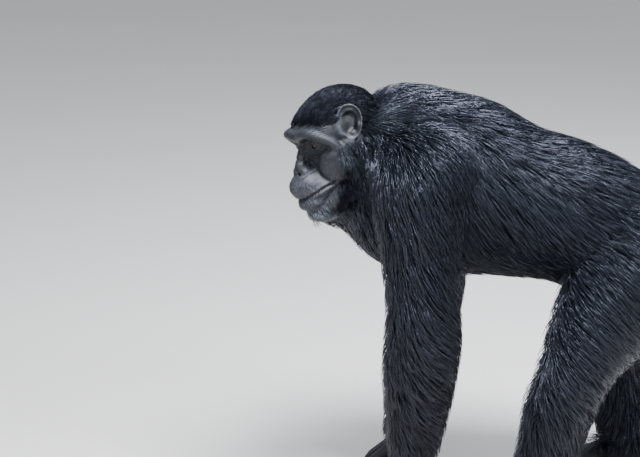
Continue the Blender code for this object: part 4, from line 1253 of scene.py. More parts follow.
@dataclass
class Skin:
    """The one bare skin under coat and face, with what the coat needs to know at each point of it."""

    head: Head
    trunk: Trunk = Trunk()
    body_voxel: float = 7.5 * MM
    core: float = 0.010
    least_lift: float = 2.2 * MM
    most_triangles: int = 195000
    # How far forward the hair reaches at each height of the head, in its millimetres.
    hairline: tuple = (
        (-112, 106),
        (-99, 84),
        (-82, 72),
        (-62, 60),
        (-40, 54),
        (-16, 52),
        (2, 50),
        (20, 43),
        (38, 46),
        (46, 64),
        (52, 80),
        (60, 88),
    )
    # Colours of bare skin and of the coat: markings that both carry, except rim, a painted highlight on the ears' rims.
    slate: str = "#1c1f24"
    muzzle: str = "#2a2c32"
    brow: str = "#1b1e23"
    ear: str = "#16181c"
    # A painted highlight: the lighter tone on the standing rims of the ears, where light catches them.
    rim: str = "#353a40"
    palm: str = "#1f1e20"
    under_coat: str = "#101216"
    black: str = "#0b0d12"
    brown: str = "#161210"
    grey_beard: str = "#646d74"
    obj: bpy.types.Object | None = None

    def built(self) -> bpy.types.Object:
        """Makes the skin and stores its attributes."""
        masses = self.trunk.masses()
        for limb in (*ARMS, *LEGS):
            masses += limb.masses()
        obj = melted("skin", masses, self.body_voxel, 16)
        log.info("body: %d faces", len(obj.data.polygons))
        others = [self.head.built()]
        log.info("head: %d faces", len(others[0].data.polygons))
        others += [arm.hand() for arm in ARMS] + [leg.foot() for leg in LEGS]
        combined(obj, others, "UNION")
        obj.data.materials.clear()
        obj.data.materials.append(SkinFinish().material())
        obj.data.polygons.foreach_set("material_index", np.zeros(len(obj.data.polygons), np.int32))
        obj.data.shade_smooth()
        obj.name = obj.data.name = "skin"
        self.obj = obj
        self.mark()
        return obj

    def mark(self) -> None:
        """Stores the coat's lie, length, height and cover, and the colours of skin and coat, at each vertex."""
        mesh = self.obj.data
        points, out = places(mesh), facings(mesh)
        local = self.head.local(points)
        lie, length, height = Lie(self.head).at(points, out)
        on_head = self.on_head(local)
        ears = self.head.ear.covers(local) * on_head
        cover = np.where(on_head > 0.5, self.head_cover(local), self.limb_cover(points)) * (1.0 - ears)
        grey_share = on_head * smooth_step(local[:, 0], 66, 80) * smooth_step(local[:, 2], -72, -84)
        grey_share *= smooth_step(np.abs(local[:, 1]), 32, 16)
        fuzz = on_head * (1.0 - ears) * smooth_step(cover, 0.10, 0.0) * self.fuzz_cover(local)
        by_ear = self.head.ear.covers(local, 1.45) * on_head
        marked(mesh, "Lie", lie)
        marked(mesh, "Out", out)
        marked(mesh, "Length", length * (0.45 + 0.55 * cover) * (1.0 - 0.55 * by_ear))
        lift = (height + self.core * (1.0 - on_head)) * (0.25 + 0.75 * cover)
        marked(mesh, "Lift", np.where(cover > 0.0, np.maximum(lift, self.least_lift), lift))
        marked(mesh, "Cover", cover)
        marked(mesh, "Fuzz", fuzz)
        # Painted highlight: grey laid into the cheek hair stands in for light catching the tufts there.
        cheek_sheen = 0.32 * on_head * bump(np.linalg.norm(np.abs(local) - (50, 58, 6), axis=1), 20.0)
        marked(mesh, "Tint", self.coat_colours(points, np.max([grey_share, 0.75 * fuzz, cheek_sheen], axis=0)))
        marked(mesh, "Tone", self.skin_colours(points, local, on_head, ears, cover))
        relief = self.head.relief(local) * on_head * (1.0 - ears)
        # Painted shade: the skin darkens in the face's sunk folds and inside the ears' cups.
        marked(mesh, "Crease", np.clip(-relief / 1.6 + self.head.ear.covers(local, 0.52) * on_head, 0.0, 1.0))
        fold, depth = self.head.lines(local)
        for limb in (*ARMS, *LEGS):
            near = np.linalg.norm((points - np.array(limb.end()))[:, :2], axis=1) < 0.17
            near &= (points[:, 2] < 0.13) & (np.sign(points[:, 1]) == limb.side.value)
            back = np.array(limb.place().inverted())
            limb_fold, limb_depth = limb.lines(points @ back[:3, :3].T + back[:3, 3])
            fold = np.where(near, limb_fold, fold)
            depth = np.where(near, limb_depth, depth * (on_head > 0.5))
        marked(mesh, "Fold", fold)
        marked(mesh, "FoldDepth", depth * (1.0 - 0.7 * ears))

    def thinned(self) -> None:
        """Takes points away where the skin is flattest, once the coat has grown on it, to keep its mesh small."""
        count = sum(len(p.vertices) - 2 for p in self.obj.data.polygons)
        if count > self.most_triangles:
            self.obj.modifiers.new("Thin", "DECIMATE").ratio = self.most_triangles / count
            applied(self.obj)
            self.obj.data.name = "skin"
        log.info("skin: %d triangles", sum(len(p.vertices) - 2 for p in self.obj.data.polygons))

    def on_head(self, local: np.ndarray) -> np.ndarray:
        """How much each point, in the head's millimetres, belongs to the head rather than the neck."""
        u, _, w = local.T
        return smooth_step(u + 0.35 * w, -75, -40) * (np.linalg.norm(local / (150, 100, 150), axis=1) < 1.0)

    def head_cover(self, local: np.ndarray) -> np.ndarray:
        """Where the head has hair: crown, nape, cheeks, throat and chin, fading out on the face."""
        u, w = local[:, 0], local[:, 2]
        hairline = np.interp(w, *zip(*self.hairline))
        chin = 0.9 * smooth_step(u, 66, 76) * smooth_step(w, -78, -92) * smooth_step(np.abs(local[:, 1]), 34, 20)
        uneven = 3.0 * np.sin(local[:, 1] / 5.3) + 2.0 * np.sin(w / 4.1 + local[:, 1] / 3.1)
        return np.maximum(smooth_step(u - hairline - uneven, 8, -13), chin)

    @staticmethod
    def fuzz_cover(local: np.ndarray) -> np.ndarray:
        """Where the bare face has short pale hairs: lips and chin, and fewer on cheeks and brow."""
        u, w = local[:, 0], local[:, 2]
        mouth = smooth_step(u, 72, 92) * smooth_step(w, -24, -34)
        brow = 0.35 * smooth_step(u, 60, 70) * smooth_step(w, 26, 34)
        return np.maximum(np.maximum(mouth, brow), 0.22 * smooth_step(w, -4, -14))

    @staticmethod
    def limb_cover(points: np.ndarray) -> np.ndarray:
        """Where the body has hair: all over, down to the hands' backs and the insteps."""
        z = points[:, 2]
        of_arms = points[:, 0] < 0.0
        return np.where(of_arms, smooth_step(z, 0.048, 0.092), smooth_step(z, 0.034, 0.074))

    def coat_colours(self, points: np.ndarray, grey_share: np.ndarray) -> np.ndarray:
        """The hair's colour at each point: blue-black, browner on forearms and rump, grey on the chin and the face's
        pale hairs, and grey as a painted highlight on the cheeks.
        """
        black, brown, grey = (np.array((*linear(c), 1.0)) for c in (self.black, self.brown, self.grey_beard))
        x, z = points[:, 0], points[:, 2]
        rump = smooth_step(x, 0.22, 0.36) * smooth_step(z, 0.20, 0.34)
        forearm = smooth_step(z, 0.42, 0.30) * (x < 0.0)
        warm = np.clip(0.55 * rump + 0.45 * forearm, 0.0, 1.0)[:, None]
        colours = black + (brown - black) * warm
        return colours + (grey - colours) * grey_share[:, None]

    def skin_colours(
        self, points: np.ndarray, local: np.ndarray, on_head: np.ndarray, ears: np.ndarray, cover: np.ndarray
    ) -> np.ndarray:
        """The skin's colour at each point: slate, paler on the muzzle and brow, dark under the coat, with a painted
        highlight on the ears' rims.
        """
        tones = {c: np.array((*linear(getattr(self, c)), 1.0)) for c in ("slate", "muzzle", "brow", "ear", "rim", "palm", "under_coat")}
        u, v, w = local[:, 0], np.abs(local[:, 1]), local[:, 2]
        muzzle = on_head * smooth_step(u, 70, 96) * smooth_step(w, -8, -30) * smooth_step(v, 46, 30)
        brow = on_head * smooth_step(u, 56, 72) * smooth_step(w, 28, 38) * smooth_step(w, 64, 54)
        colours = np.tile(tones["slate"], (len(points), 1))
        low = (1.0 - on_head) * smooth_step(points[:, 2], 0.05, 0.015)
        # Painted highlight: the ears' standing rims take the lighter rim tone, as if lit.
        rim = ears * self.head.ear.rim(local)
        shares = {"muzzle": muzzle, "brow": brow, "ear": ears, "rim": rim, "palm": low, "under_coat": cover}
        for tone, share in shares.items():
            colours += (tones[tone] - colours) * share[:, None]
        return colours


# ---- the coat


@dataclass(frozen=True)
class TuftTree:
    """The Geometry Nodes tree that grows tufts over a patch of skin, each a tapered three-sided strand."""

    rings: int = 3
    least_facing: float = 0.45

    INPUTS = (
        ("Skin", "NodeSocketObject", None),
        ("Density", "NodeSocketFloat", 70000.0),
        ("Seed", "NodeSocketInt", 1),
        ("Length share", "NodeSocketFloat", 0.68),
        ("Half width", "NodeSocketFloat", 0.0011),
        ("Clump size", "NodeSocketFloat", 0.022),
        ("Clump pull", "NodeSocketFloat", 0.75),
        ("Stray", "NodeSocketFloat", 0.16),
        ("Follow", "NodeSocketFloat", 0.86),
        ("Material", "NodeSocketMaterial", None),
    )

    def built(self) -> bpy.types.NodeTree:
        """Builds the tree."""
        tree = bpy.data.node_groups.new("Tuft coat", "GeometryNodeTree")
        tree.interface.new_socket("Geometry", in_out="INPUT", socket_type="NodeSocketGeometry")
        tree.interface.new_socket("Geometry", in_out="OUTPUT", socket_type="NodeSocketGeometry")
        for name, kind, value in self.INPUTS:
            socket = tree.interface.new_socket(name, in_out="INPUT", socket_type=kind)
            if value is not None:
                socket.default_value = value
        given = tree.nodes.new("NodeGroupInput").outputs
        skin = add(tree, "GeometryNodeObjectInfo", {"Object": given["Skin"]}, "Geometry")
        points = self.rooted(tree, given)
        points = self.marched(tree, given, skin, points)
        tufts = self.formed(tree, given, points)
        result = tree.nodes.new("NodeGroupOutput")
        tree.links.new(tufts, result.inputs[0])
        return tree

    @staticmethod
    def read(tree: bpy.types.NodeTree, name: str, kind: str = "FLOAT_VECTOR") -> bpy.types.NodeSocket:
        """A stored attribute."""
        return add(tree, "GeometryNodeInputNamedAttribute", {"Name": name}, "Attribute", data_type=kind)

    @staticmethod
    def stored(tree: bpy.types.NodeTree, geometry: bpy.types.NodeSocket, name: str, value: object, kind: str = "FLOAT_VECTOR"):
        """The geometry with one more attribute on its points."""
        return add(
            tree,
            "GeometryNodeStoreNamedAttribute",
            {"Geometry": geometry, "Name": name, "Value": value},
            data_type=kind,
            domain="POINT",
        )

    def rooted(self, tree: bpy.types.NodeTree, given: bpy.types.bpy_prop_collection) -> bpy.types.NodeSocket:
        """The roots, scattered by cover, with each tuft's own chance, length, first place and direction."""
        cover = self.read(tree, "Cover", "FLOAT")
        density = add(tree, "ShaderNodeMath", {0: cover, 1: given["Density"]}, operation="MULTIPLY")
        points = add(
            tree,
            "GeometryNodeDistributePointsOnFaces",
            {"Mesh": given["Geometry"], "Density": density, "Seed": given["Seed"]},
        )
        chance = add(tree, "FunctionNodeRandomValue", {"Seed": given["Seed"]}, "Value", data_type="FLOAT")
        points = self.stored(tree, points, "Tuft", chance, "FLOAT")
        shift = add(
            tree,
            "FunctionNodeRandomValue",
            {"Min": (-1.0, -1.0, -1.0), "Max": (1.0, 1.0, 1.0), "Seed": 7},
            "Value",
            data_type="FLOAT_VECTOR",
        )
        strayed = add(
            tree, "ShaderNodeVectorMath", {0: shift, "Scale": given["Stray"]}, operation="SCALE"
        )
        way = add(tree, "ShaderNodeVectorMath", {0: self.read(tree, "Lie"), 1: strayed}, operation="ADD")
        points = self.stored(tree, points, "W0", add(tree, "ShaderNodeVectorMath", {0: way}, operation="NORMALIZE"))
        points = self.stored(tree, points, "P0", add(tree, "GeometryNodeInputPosition"))
        points = self.stored(tree, points, "N0", self.read(tree, "Out"))
        size = add(
            tree, "FunctionNodeRandomValue", {"Min": 0.62, "Max": 1.2, "Seed": 3}, "Value", data_type="FLOAT"
        )
        share = add(tree, "ShaderNodeMath", {0: size, 1: given["Length share"]}, operation="MULTIPLY")
        length = add(tree, "ShaderNodeMath", {0: self.read(tree, "Length", "FLOAT"), 1: share}, operation="MULTIPLY")
        points = self.stored(tree, points, "Reach", length, "FLOAT")
        frequency = add(tree, "ShaderNodeMath", {0: 1.0, 1: given["Clump size"]}, operation="DIVIDE")
        cell = add(
            tree, "ShaderNodeTexVoronoi", {"Vector": self.read(tree, "P0"), "Scale": frequency}, "Position", feature="F1"
        )
        inward = add(tree, "ShaderNodeVectorMath", {0: cell, 1: self.read(tree, "P0")}, operation="SUBTRACT")
        return self.stored(tree, points, "Clump", inward)

    def marched(
        self,
        tree: bpy.types.NodeTree,
        given: bpy.types.bpy_prop_collection,
        skin: bpy.types.NodeSocket,
        points: bpy.types.NodeSocket,
    ) -> bpy.types.NodeSocket:
        """Walks each tuft over the skin ring by ring: along the lie, drawn into its clump, kept to the surface."""
        stride = add(tree, "ShaderNodeMath", {0: self.read(tree, "Reach", "FLOAT"), 1: float(self.rings)}, operation="DIVIDE")
        for k in range(1, self.rings + 1):
            before = {name: self.read(tree, f"{name}{k - 1}") for name in "PNW"}
            ahead = add(tree, "ShaderNodeVectorMath", {0: before["W"], "Scale": stride}, operation="SCALE")
            share = (k / self.rings) ** 1.4 - ((k - 1) / self.rings) ** 1.4
            pull = add(tree, "ShaderNodeMath", {0: given["Clump pull"], 1: share}, operation="MULTIPLY")
            drawn = add(tree, "ShaderNodeVectorMath", {0: self.read(tree, "Clump"), "Scale": pull}, operation="SCALE")
            step = add(tree, "ShaderNodeVectorMath", {0: ahead, 1: drawn}, operation="ADD")
            trial = add(tree, "ShaderNodeVectorMath", {0: before["P"], 1: step}, operation="ADD")
            points = self.stored(tree, points, "Trial", trial)
            trial = self.read(tree, "Trial")
            near = add(
                tree, "GeometryNodeProximity", {"Geometry": skin, "Sample Position": trial}, "Position", target_element="FACES"
            )
            sampled = {
                name: add(
                    tree,
                    "GeometryNodeSampleNearestSurface",
                    {"Mesh": skin, "Value": self.read(tree, name), "Sample Position": trial},
                    "Value",
                    data_type="FLOAT_VECTOR",
                )
                for name in ("Out", "Lie")
            }
            facing = add(tree, "ShaderNodeVectorMath", {0: sampled["Out"], 1: before["N"]}, "Value", operation="DOT_PRODUCT")
            kept = add(
                tree, "FunctionNodeCompare", {"A": facing, "B": self.least_facing}, data_type="FLOAT", operation="GREATER_THAN"
            )
            points = self.stored(tree, points, "Kept", kept, "FLOAT")
            follow = add(
                tree, "ShaderNodeMath", {0: self.read(tree, "Kept", "FLOAT"), 1: given["Follow"]}, operation="MULTIPLY"
            )
            place = add(tree, "ShaderNodeMix", {"Factor": follow, "A": trial, "B": near}, "Result", data_type="VECTOR")
            out = add(
                tree,
                "ShaderNodeMix",
                {"Factor": self.read(tree, "Kept", "FLOAT"), "A": before["N"], "B": sampled["Out"]},
                "Result",
                data_type="VECTOR",
            )
            turned = add(
                tree, "ShaderNodeMath", {0: self.read(tree, "Kept", "FLOAT"), 1: 0.65}, operation="MULTIPLY"
            )
            way = add(
                tree, "ShaderNodeMix", {"Factor": turned, "A": before["W"], "B": sampled["Lie"]}, "Result", data_type="VECTOR"
            )
            points = self.stored(tree, points, f"P{k}", place)
            points = self.stored(tree, points, f"N{k}", add(tree, "ShaderNodeVectorMath", {0: out}, operation="NORMALIZE"))
            points = self.stored(tree, points, f"W{k}", add(tree, "ShaderNodeVectorMath", {0: way}, operation="NORMALIZE"))
        return points

    def formed(
        self, tree: bpy.types.NodeTree, given: bpy.types.bpy_prop_collection, points: bpy.types.NodeSocket
    ) -> bpy.types.NodeSocket:
        """Sets a strand on each root and bends it through the places that the walk found."""
        strand = add(
            tree,
            "GeometryNodeMeshCone",
            {"Vertices": 3, "Side Segments": self.rings, "Radius Top": 0.0, "Radius Bottom": 1.0, "Depth": 1.0},
            "Mesh",
            fill_type="NGON",
        )
        strand = self.stored(tree, strand, "Form", add(tree, "GeometryNodeInputPosition"))
        tufts = add(tree, "GeometryNodeInstanceOnPoints", {"Points": points, "Instance": strand})
        tufts = add(tree, "GeometryNodeRealizeInstances", {"Geometry": tufts})
        form = add(tree, "ShaderNodeSeparateXYZ", {0: self.read(tree, "Form")}).node.outputs
        along = form["Z"]
        tufts = self.stored(tree, tufts, "Along", along, "FLOAT")
        ring = add(tree, "ShaderNodeMath", {0: along, 1: float(self.rings)}, operation="MULTIPLY")
        index = add(tree, "FunctionNodeFloatToInt", {0: ring}, rounding_mode="ROUND")
        here = {}
        for name in "PNW":
            switch = tree.nodes.new("GeometryNodeIndexSwitch")
            switch.data_type = "VECTOR"
            for _ in range(self.rings - 1):
                switch.index_switch_items.new()
            tree.links.new(index, switch.inputs[0])
            for k in range(self.rings + 1):
                tree.links.new(self.read(tree, f"{name}{k}"), switch.inputs[k + 1])
            here[name] = switch.outputs[0]
        layer = add(
            tree, "ShaderNodeMapRange", {"Value": self.read(tree, "Tuft", "FLOAT"), "To Min": 0.40, "To Max": 1.0}
        )
        lift = add(tree, "ShaderNodeMath", {0: self.read(tree, "Lift", "FLOAT"), 1: layer}, operation="MULTIPLY")
        left_over = add(tree, "ShaderNodeMath", {0: 1.0, 1: along}, operation="SUBTRACT")
        squared = add(tree, "ShaderNodeMath", {0: left_over, 1: left_over}, operation="MULTIPLY")
        rise = add(tree, "ShaderNodeMath", {0: 1.0, 1: squared}, operation="SUBTRACT")
        height = add(tree, "ShaderNodeMath", {0: rise, 1: lift}, operation="MULTIPLY")
        sunk = add(tree, "ShaderNodeMath", {0: squared, 1: -0.8 * MM, 2: height}, operation="MULTIPLY_ADD")
        taper = add(tree, "ShaderNodeMath", {0: along, 1: 2.5, 2: 0.6}, operation="MULTIPLY_ADD")
        slim = add(
            tree,
            "ShaderNodeMapRange",
            {"Value": self.read(tree, "Reach", "FLOAT"), "From Min": 0.003, "From Max": 0.024, "To Min": 0.3, "To Max": 1.0},
        )
        width = add(tree, "ShaderNodeMath", {0: taper, 1: given["Half width"]}, operation="MULTIPLY")
        width = add(tree, "ShaderNodeMath", {0: width, 1: slim}, operation="MULTIPLY")
        across = add(tree, "ShaderNodeMath", {0: form["X"], 1: width}, operation="MULTIPLY")
        thick = add(tree, "ShaderNodeMath", {0: form["Y"], 1: width}, operation="MULTIPLY")
        up = add(tree, "ShaderNodeMath", {0: thick, 1: 0.7, 2: sunk}, operation="MULTIPLY_ADD")
        side = add(tree, "ShaderNodeVectorMath", {0: here["N"], 1: here["W"]}, operation="CROSS_PRODUCT")
        side = add(tree, "ShaderNodeVectorMath", {0: side}, operation="NORMALIZE")
        side = add(tree, "ShaderNodeVectorMath", {0: side, "Scale": across}, operation="SCALE")
        raised = add(tree, "ShaderNodeVectorMath", {0: here["N"], "Scale": up}, operation="SCALE")
        offset = add(tree, "ShaderNodeVectorMath", {0: side, 1: raised}, operation="ADD")
        place = add(tree, "ShaderNodeVectorMath", {0: here["P"], 1: offset}, operation="ADD")
        tufts = add(tree, "GeometryNodeSetPosition", {"Geometry": tufts, "Position": place})
        tufts = add(tree, "GeometryNodeSetShadeSmooth", {"Geometry": tufts})
        return add(tree, "GeometryNodeSetMaterial", {"Geometry": tufts, "Material": given["Material"]})


@dataclass(frozen=True)
class CoatPiece:
    """One piece of the coat: where it grows, how densely, and how fine and clumped its tufts are."""

    name: str
    bone: Bone
    density: float = 78000.0
    half_width: float = 1.05 * MM
    clump_size: float = 24.0 * MM
    clump_pull: float = 0.7
    length_share: float = 0.68
    stray: float = 0.16
    follow: float = 0.86
    cover: str = "Cover"
    finish: HairFinish = BODY_HAIR
    only: Callable[[np.ndarray], np.ndarray] | None = None


@dataclass
class Coat:
    """The whole coat, in pieces that each stay under the limit for one mesh."""

    skin: Skin
    patch: float = 0.003
    limit: int = 12300
    KEPT = ("Tint", "Tuft", "Along", "position", "sharp_face", "material_index", "OFBake")
    CARRIED = ("Lie", "Out", "Length", "Lift", "Tint")

    def pieces(self) -> list[CoatPiece]:
        """The pieces, by the bones of the body."""
        place = self.skin.head.place()
        head = Bone("head", place @ Vector((-10, 0, 10)), place @ Vector((70, 0, -40)), 0.075)
        chest = Bone("chest", (-0.20, 0.0, 0.600), (0.06, 0.0, 0.555), 0.15)
        rump = Bone("rump", (0.14, 0.0, 0.530), (0.34, 0.0, 0.420), 0.13)
        neck = Bone("neck", (-0.205, 0.0, 0.650), (-0.245, -0.018, 0.668), 0.085)
        left, right = (lambda points: points[:, 1] < 0.0), (lambda points: points[:, 1] >= 0.0)
        chin = Bone("chin", place @ Vector((78, 0, -104)), place @ Vector((106, 0, -86)), 0.030)
        fine = {"density": 320000.0, "half_width": 0.60 * MM, "clump_size": 13.0 * MM, "clump_pull": 0.75, "stray": 0.3}
        short = {"density": 400000.0, "half_width": 0.38 * MM, "clump_size": 5.0 * MM, "clump_pull": 0.35, "stray": 0.4}
        fuzz = {"density": 70000.0, "half_width": 0.28 * MM, "clump_pull": 0.0, "length_share": 0.28, "stray": 0.6}
        found = [
            CoatPiece("coat_head", head, finish=SHADED_CROWN_HAIR, **fine),
            CoatPiece("coat_beard", chin, finish=WHITE_HAIR, **short),
            CoatPiece("coat_face_hairs", head, finish=WHITE_HAIR, cover="Fuzz", **fuzz),
            CoatPiece("coat_neck", neck, density=90000.0, half_width=0.9 * MM),
        ]
        for label, only in (("left", left), ("right", right)):
            found += [
                CoatPiece(f"coat_chest_{label}", chest, only=only),
                CoatPiece(f"coat_rump_{label}", rump, only=only),
            ]
        limb = {"density": 80000.0, "clump_size": 20.0 * MM, "stray": 0.22, "follow": 0.70}
        for arm, leg in zip(ARMS, LEGS):
            label = arm.side.label
            found += [
                CoatPiece(f"coat_{label}_upper_arm", Bone("upper_arm", arm.shoulder, arm.elbow, 0.058), **limb),
                CoatPiece(f"coat_{label}_forearm", Bone("forearm", arm.elbow, arm.wrist[:2] + (0.06,), 0.040), **limb),
                CoatPiece(f"coat_{label}_thigh", Bone("thigh", leg.hip, leg.knee, 0.080), **limb),
                CoatPiece(f"coat_{label}_lower_leg", Bone("shank", leg.knee, leg.ankle[:2] + (0.04,), 0.040), **limb),
            ]
        return found

    def patches(self, pieces: Sequence[CoatPiece]) -> list[np.ndarray]:
        """The skin's faces that each piece grows on, by the bone that is nearest for its size."""
        mesh = self.skin.obj.data
        mesh.calc_loop_triangles()
        corners = rows(mesh.loop_triangles, "vertices", len(mesh.loop_triangles)).astype(int)
        points = places(mesh)
        centres = points[corners].mean(axis=1)
        cover = rows(mesh.attributes["Cover"].data, "value", len(points), 1)[:, 0]
        nearness = np.array([piece.bone.nearness(centres) for piece in pieces])
        for k, piece in enumerate(pieces):
            if piece.only is not None:
                nearness[k][~piece.only(centres)] = np.inf
            if piece.cover != "Cover":
                nearness[k] = np.inf
        nearest = nearness.argmin(axis=0)
        haired = cover[corners].max(axis=1) > 0.0
        found = []
        for k, piece in enumerate(pieces):
            if piece.cover == "Cover":
                found.append(corners[(nearest == k) & haired])
            else:
                own = rows(mesh.attributes[piece.cover].data, "value", len(points), 1)[:, 0]
                found.append(corners[own[corners].max(axis=1) > 0.0])
        return found

    def ground(self, corners: np.ndarray, cover: str) -> bpy.types.Object:
        """The skin's own faces under one piece, with what the tree reads from them and its own cover."""
        whole = self.skin.obj.data
        used, faces = np.unique(corners, return_inverse=True)
        mesh = bpy.data.meshes.new("ground")
        mesh.from_pydata(places(whole)[used], [], faces.reshape(-1, 3).tolist())
        count = len(whole.vertices)
        for name in (*self.CARRIED, cover):
            data = whole.attributes[name].data
            key, width = {"FLOAT": ("value", 1), "FLOAT_VECTOR": ("vector", 3), "FLOAT_COLOR": ("color", 4)}[
                whole.attributes[name].data_type
            ]
            values = rows(data, key, count, width)[used]
            marked(mesh, "Cover" if name == cover else name, values[:, 0] if width == 1 else values)
        return new_object("ground", mesh)

    def grown(
        self,
        piece: CoatPiece,
        corners: np.ndarray,
        tree: bpy.types.NodeTree,
        hair: bpy.types.Material,
        seed: int,
    ) -> bpy.types.Object:
        """Grows one piece and leaves it as a plain mesh.

        Args:
            piece: its sizes.
            corners: the skin's faces that it grows on.
            tree: the tuft tree.
            hair: its material.
            seed: the seed of its random numbers.

        Returns:
            The finished coat piece.
        """
        ground = self.ground(corners, piece.cover)
        points = places(ground.data)
        triangle = points[rows(ground.data.polygons, "vertices", len(ground.data.polygons)).astype(int)]
        area = np.linalg.norm(np.cross(triangle[:, 1] - triangle[:, 0], triangle[:, 2] - triangle[:, 0]), axis=1).sum() / 2
        density = min(piece.density, self.limit / area) * 1.0
        wide = piece.half_width * 1.0
        modifier = ground.modifiers.new("Tufts", "NODES")
        modifier.node_group = tree
        values = {
            "Skin": self.skin.obj,
            "Density": density,
            "Seed": seed,
            "Length share": piece.length_share,
            "Half width": wide,
            "Clump size": piece.clump_size,
            "Clump pull": piece.clump_pull,
            "Stray": piece.stray,
            "Follow": piece.follow,
            "Material": hair,
        }
        for item in tree.interface.items_tree:
            if item.item_type == "SOCKET" and item.in_out == "INPUT" and item.name in values:
                modifier[item.identifier] = values[item.name]
        obj = applied(ground)
        obj.name = obj.data.name = piece.name
        self.unwrap(obj.data, piece.bone)
        for name in [a.name for a in obj.data.attributes if a.name not in self.KEPT and not a.is_internal and not a.is_required]:
            obj.data.attributes.remove(obj.data.attributes[name])
        return obj

    def unwrap(self, mesh: bpy.types.Mesh, bone: Bone) -> None:
        """Gives each tuft a small patch of the bake map, at its root's place on the unrolled skin."""
        count = len(mesh.vertices)
        root = rows(mesh.attributes["P0"].data, "vector", count)
        form = rows(mesh.attributes["Form"].data, "vector", count)
        turn = np.arctan2(form[:, 1], form[:, 0]) / math.tau * 1.5
        turn[np.hypot(form[:, 0], form[:, 1]) < 1e-6] = 0.0
        spot = bone.unwrapped(root) + self.patch * np.column_stack([turn, form[:, 2] - 0.5])
        corner = np.empty(len(mesh.loops), np.int32)
        mesh.loops.foreach_get("vertex_index", corner)
        layer = mesh.uv_layers.new(name="OFBake")
        layer.uv.foreach_set("vector", spot[corner].astype(np.float32).ravel())

    def built(self) -> list[bpy.types.Object]:
        """Grows every piece of the coat."""
        tree = TuftTree().built()
        pieces = self.pieces()
        hairs = {finish: finish.material() for finish in (BODY_HAIR, SHADED_CROWN_HAIR, WHITE_HAIR)}
        made = []
        for seed, (piece, corners) in enumerate(zip(pieces, self.patches(pieces)), start=11):
            obj = self.grown(piece, corners, tree, hairs[piece.finish], seed)
            made.append(obj)
            log.info("%s: %d triangles", obj.name, sum(len(p.vertices) - 2 for p in obj.data.polygons))
        return made


# ---- eyes and nails


@dataclass
class Eyes:
    """Two wet eyeballs in the sockets of the skin."""

    head: Head
    finish: EyeFinish = EyeFinish()
    cornea: float = 0.5
    iris_angle: float = 36.0
    gaze: Point = (1.0, 0.10, -0.05)

    def built(self) -> list[bpy.types.Object]:
        """Each eyeball with its cornea, and the angle from the gaze stored for its rings of colour."""
        material = self.finish.material()
        place = self.head.place()
        made = []
        for s, side in ((1, Side.LEFT), (-1, Side.RIGHT)):
            x, y, z = self.head.eye_at
            centre = np.array((x, y * s, z))
            obj = ellipsoid(centre, (self.head.eye_radius,) * 3, place, 5)
            points = places(obj.data)
            away = unit(self.head.local(points) - centre)
            aim = unit(np.array((self.gaze[0], self.gaze[1] * s, self.gaze[2])))
            angle = np.degrees(np.arccos(np.clip(away @ aim, -1.0, 1.0)))
            rise = self.cornea * np.cos(np.radians(np.minimum(angle / self.iris_angle, 1.0) * 90.0)) ** 2
            turn = np.array(place)[:3, :3]
            moved(obj.data, points + (away * rise[:, None]) @ turn.T)
            marked(obj.data, "Gaze", angle)
            obj.data.shade_smooth()
            obj.data.materials.append(material)
            obj.name = obj.data.name = f"eyeball_{side.label}"
            made.append(obj)
        return made


@dataclass
class Nails:
    """Small horn plates laid on the ends of the fingers, thumbs and toes."""

    skin: bpy.types.Object
    finish: NailFinish = NailFinish()
    thickness: float = 0.9 * MM
    sunk: float = 0.5 * MM
    steps: int = 8

    def built(self) -> list[bpy.types.Object]:
        """One piece for each hand and foot."""
        bvh = BVHTree.FromObject(self.skin, bpy.context.evaluated_depsgraph_get())
        material = self.finish.material()
        made = []
        for limb, kind in [(arm, "fingernails") for arm in ARMS] + [(leg, "toenails") for leg in LEGS]:
            bm = bmesh.new()
            for nail in limb.nails():
                self.plate(bm, bvh, limb.place(), nail)
            obj = from_bmesh(f"{kind}_{limb.side.label}", bm)
            obj.data.shade_smooth()
            obj.data.materials.append(material)
            made.append(obj)
        return made

    def plate(self, bm: bmesh.types.BMesh, bvh: BVHTree, place: Matrix, nail: Nail) -> None:
        """Adds one nail, pressed onto the skin below it.

        Args:
            bm: where it is added.
            bvh: the skin.
            place: the hand's or foot's frame.
            nail: the nail.
        """
        turn = place.to_3x3()
        facing = (turn @ Vector(nail.facing)).normalized()
        growing = turn @ Vector(nail.growing)
        growing = (growing - facing * growing.dot(facing)).normalized()
        side = growing.cross(facing)
        count = self.steps
        tops, bottoms = [], []
        for i in range(count + 1):
            for j in range(count + 1):
                a, b = 2.0 * i / count - 1.0, 2.0 * j / count - 1.0
                wide = nail.half_width * (1.0 - 0.22 * max(0.0, b) ** 2)
                start = place @ Vector(nail.at) + side * (a * wide * math.sqrt(1 - 0.35 * b * b))
                start += growing * (b * nail.half_length * math.sqrt(1 - 0.45 * a * a)) + facing * 0.004
                hit, out, _, _ = bvh.find_nearest(start - facing * 0.004)
                edge = max(abs(a), abs(b)) ** 4
                tops.append(bm.verts.new(hit + out * self.thickness * (1.0 - 0.7 * edge)))
                bottoms.append(bm.verts.new(hit - out * self.sunk))
        row = count + 1
        for i in range(count):
            for j in range(count):
                k = i * row + j
                bm.faces.new((tops[k], tops[k + 1], tops[k + row + 1], tops[k + row]))
                bm.faces.new((bottoms[k], bottoms[k + row], bottoms[k + row + 1], bottoms[k + 1]))
        rim = [i * row for i in range(row)] + [count * row + j for j in range(1, row)]
        rim += [i * row + count for i in range(count - 1, -1, -1)] + [j for j in range(count - 1, 0, -1)]
        for k, m in zip(rim, rim[1:] + rim[:1]):
            bm.faces.new((tops[k], tops[m], bottoms[m], bottoms[k]))


# ---- the studio


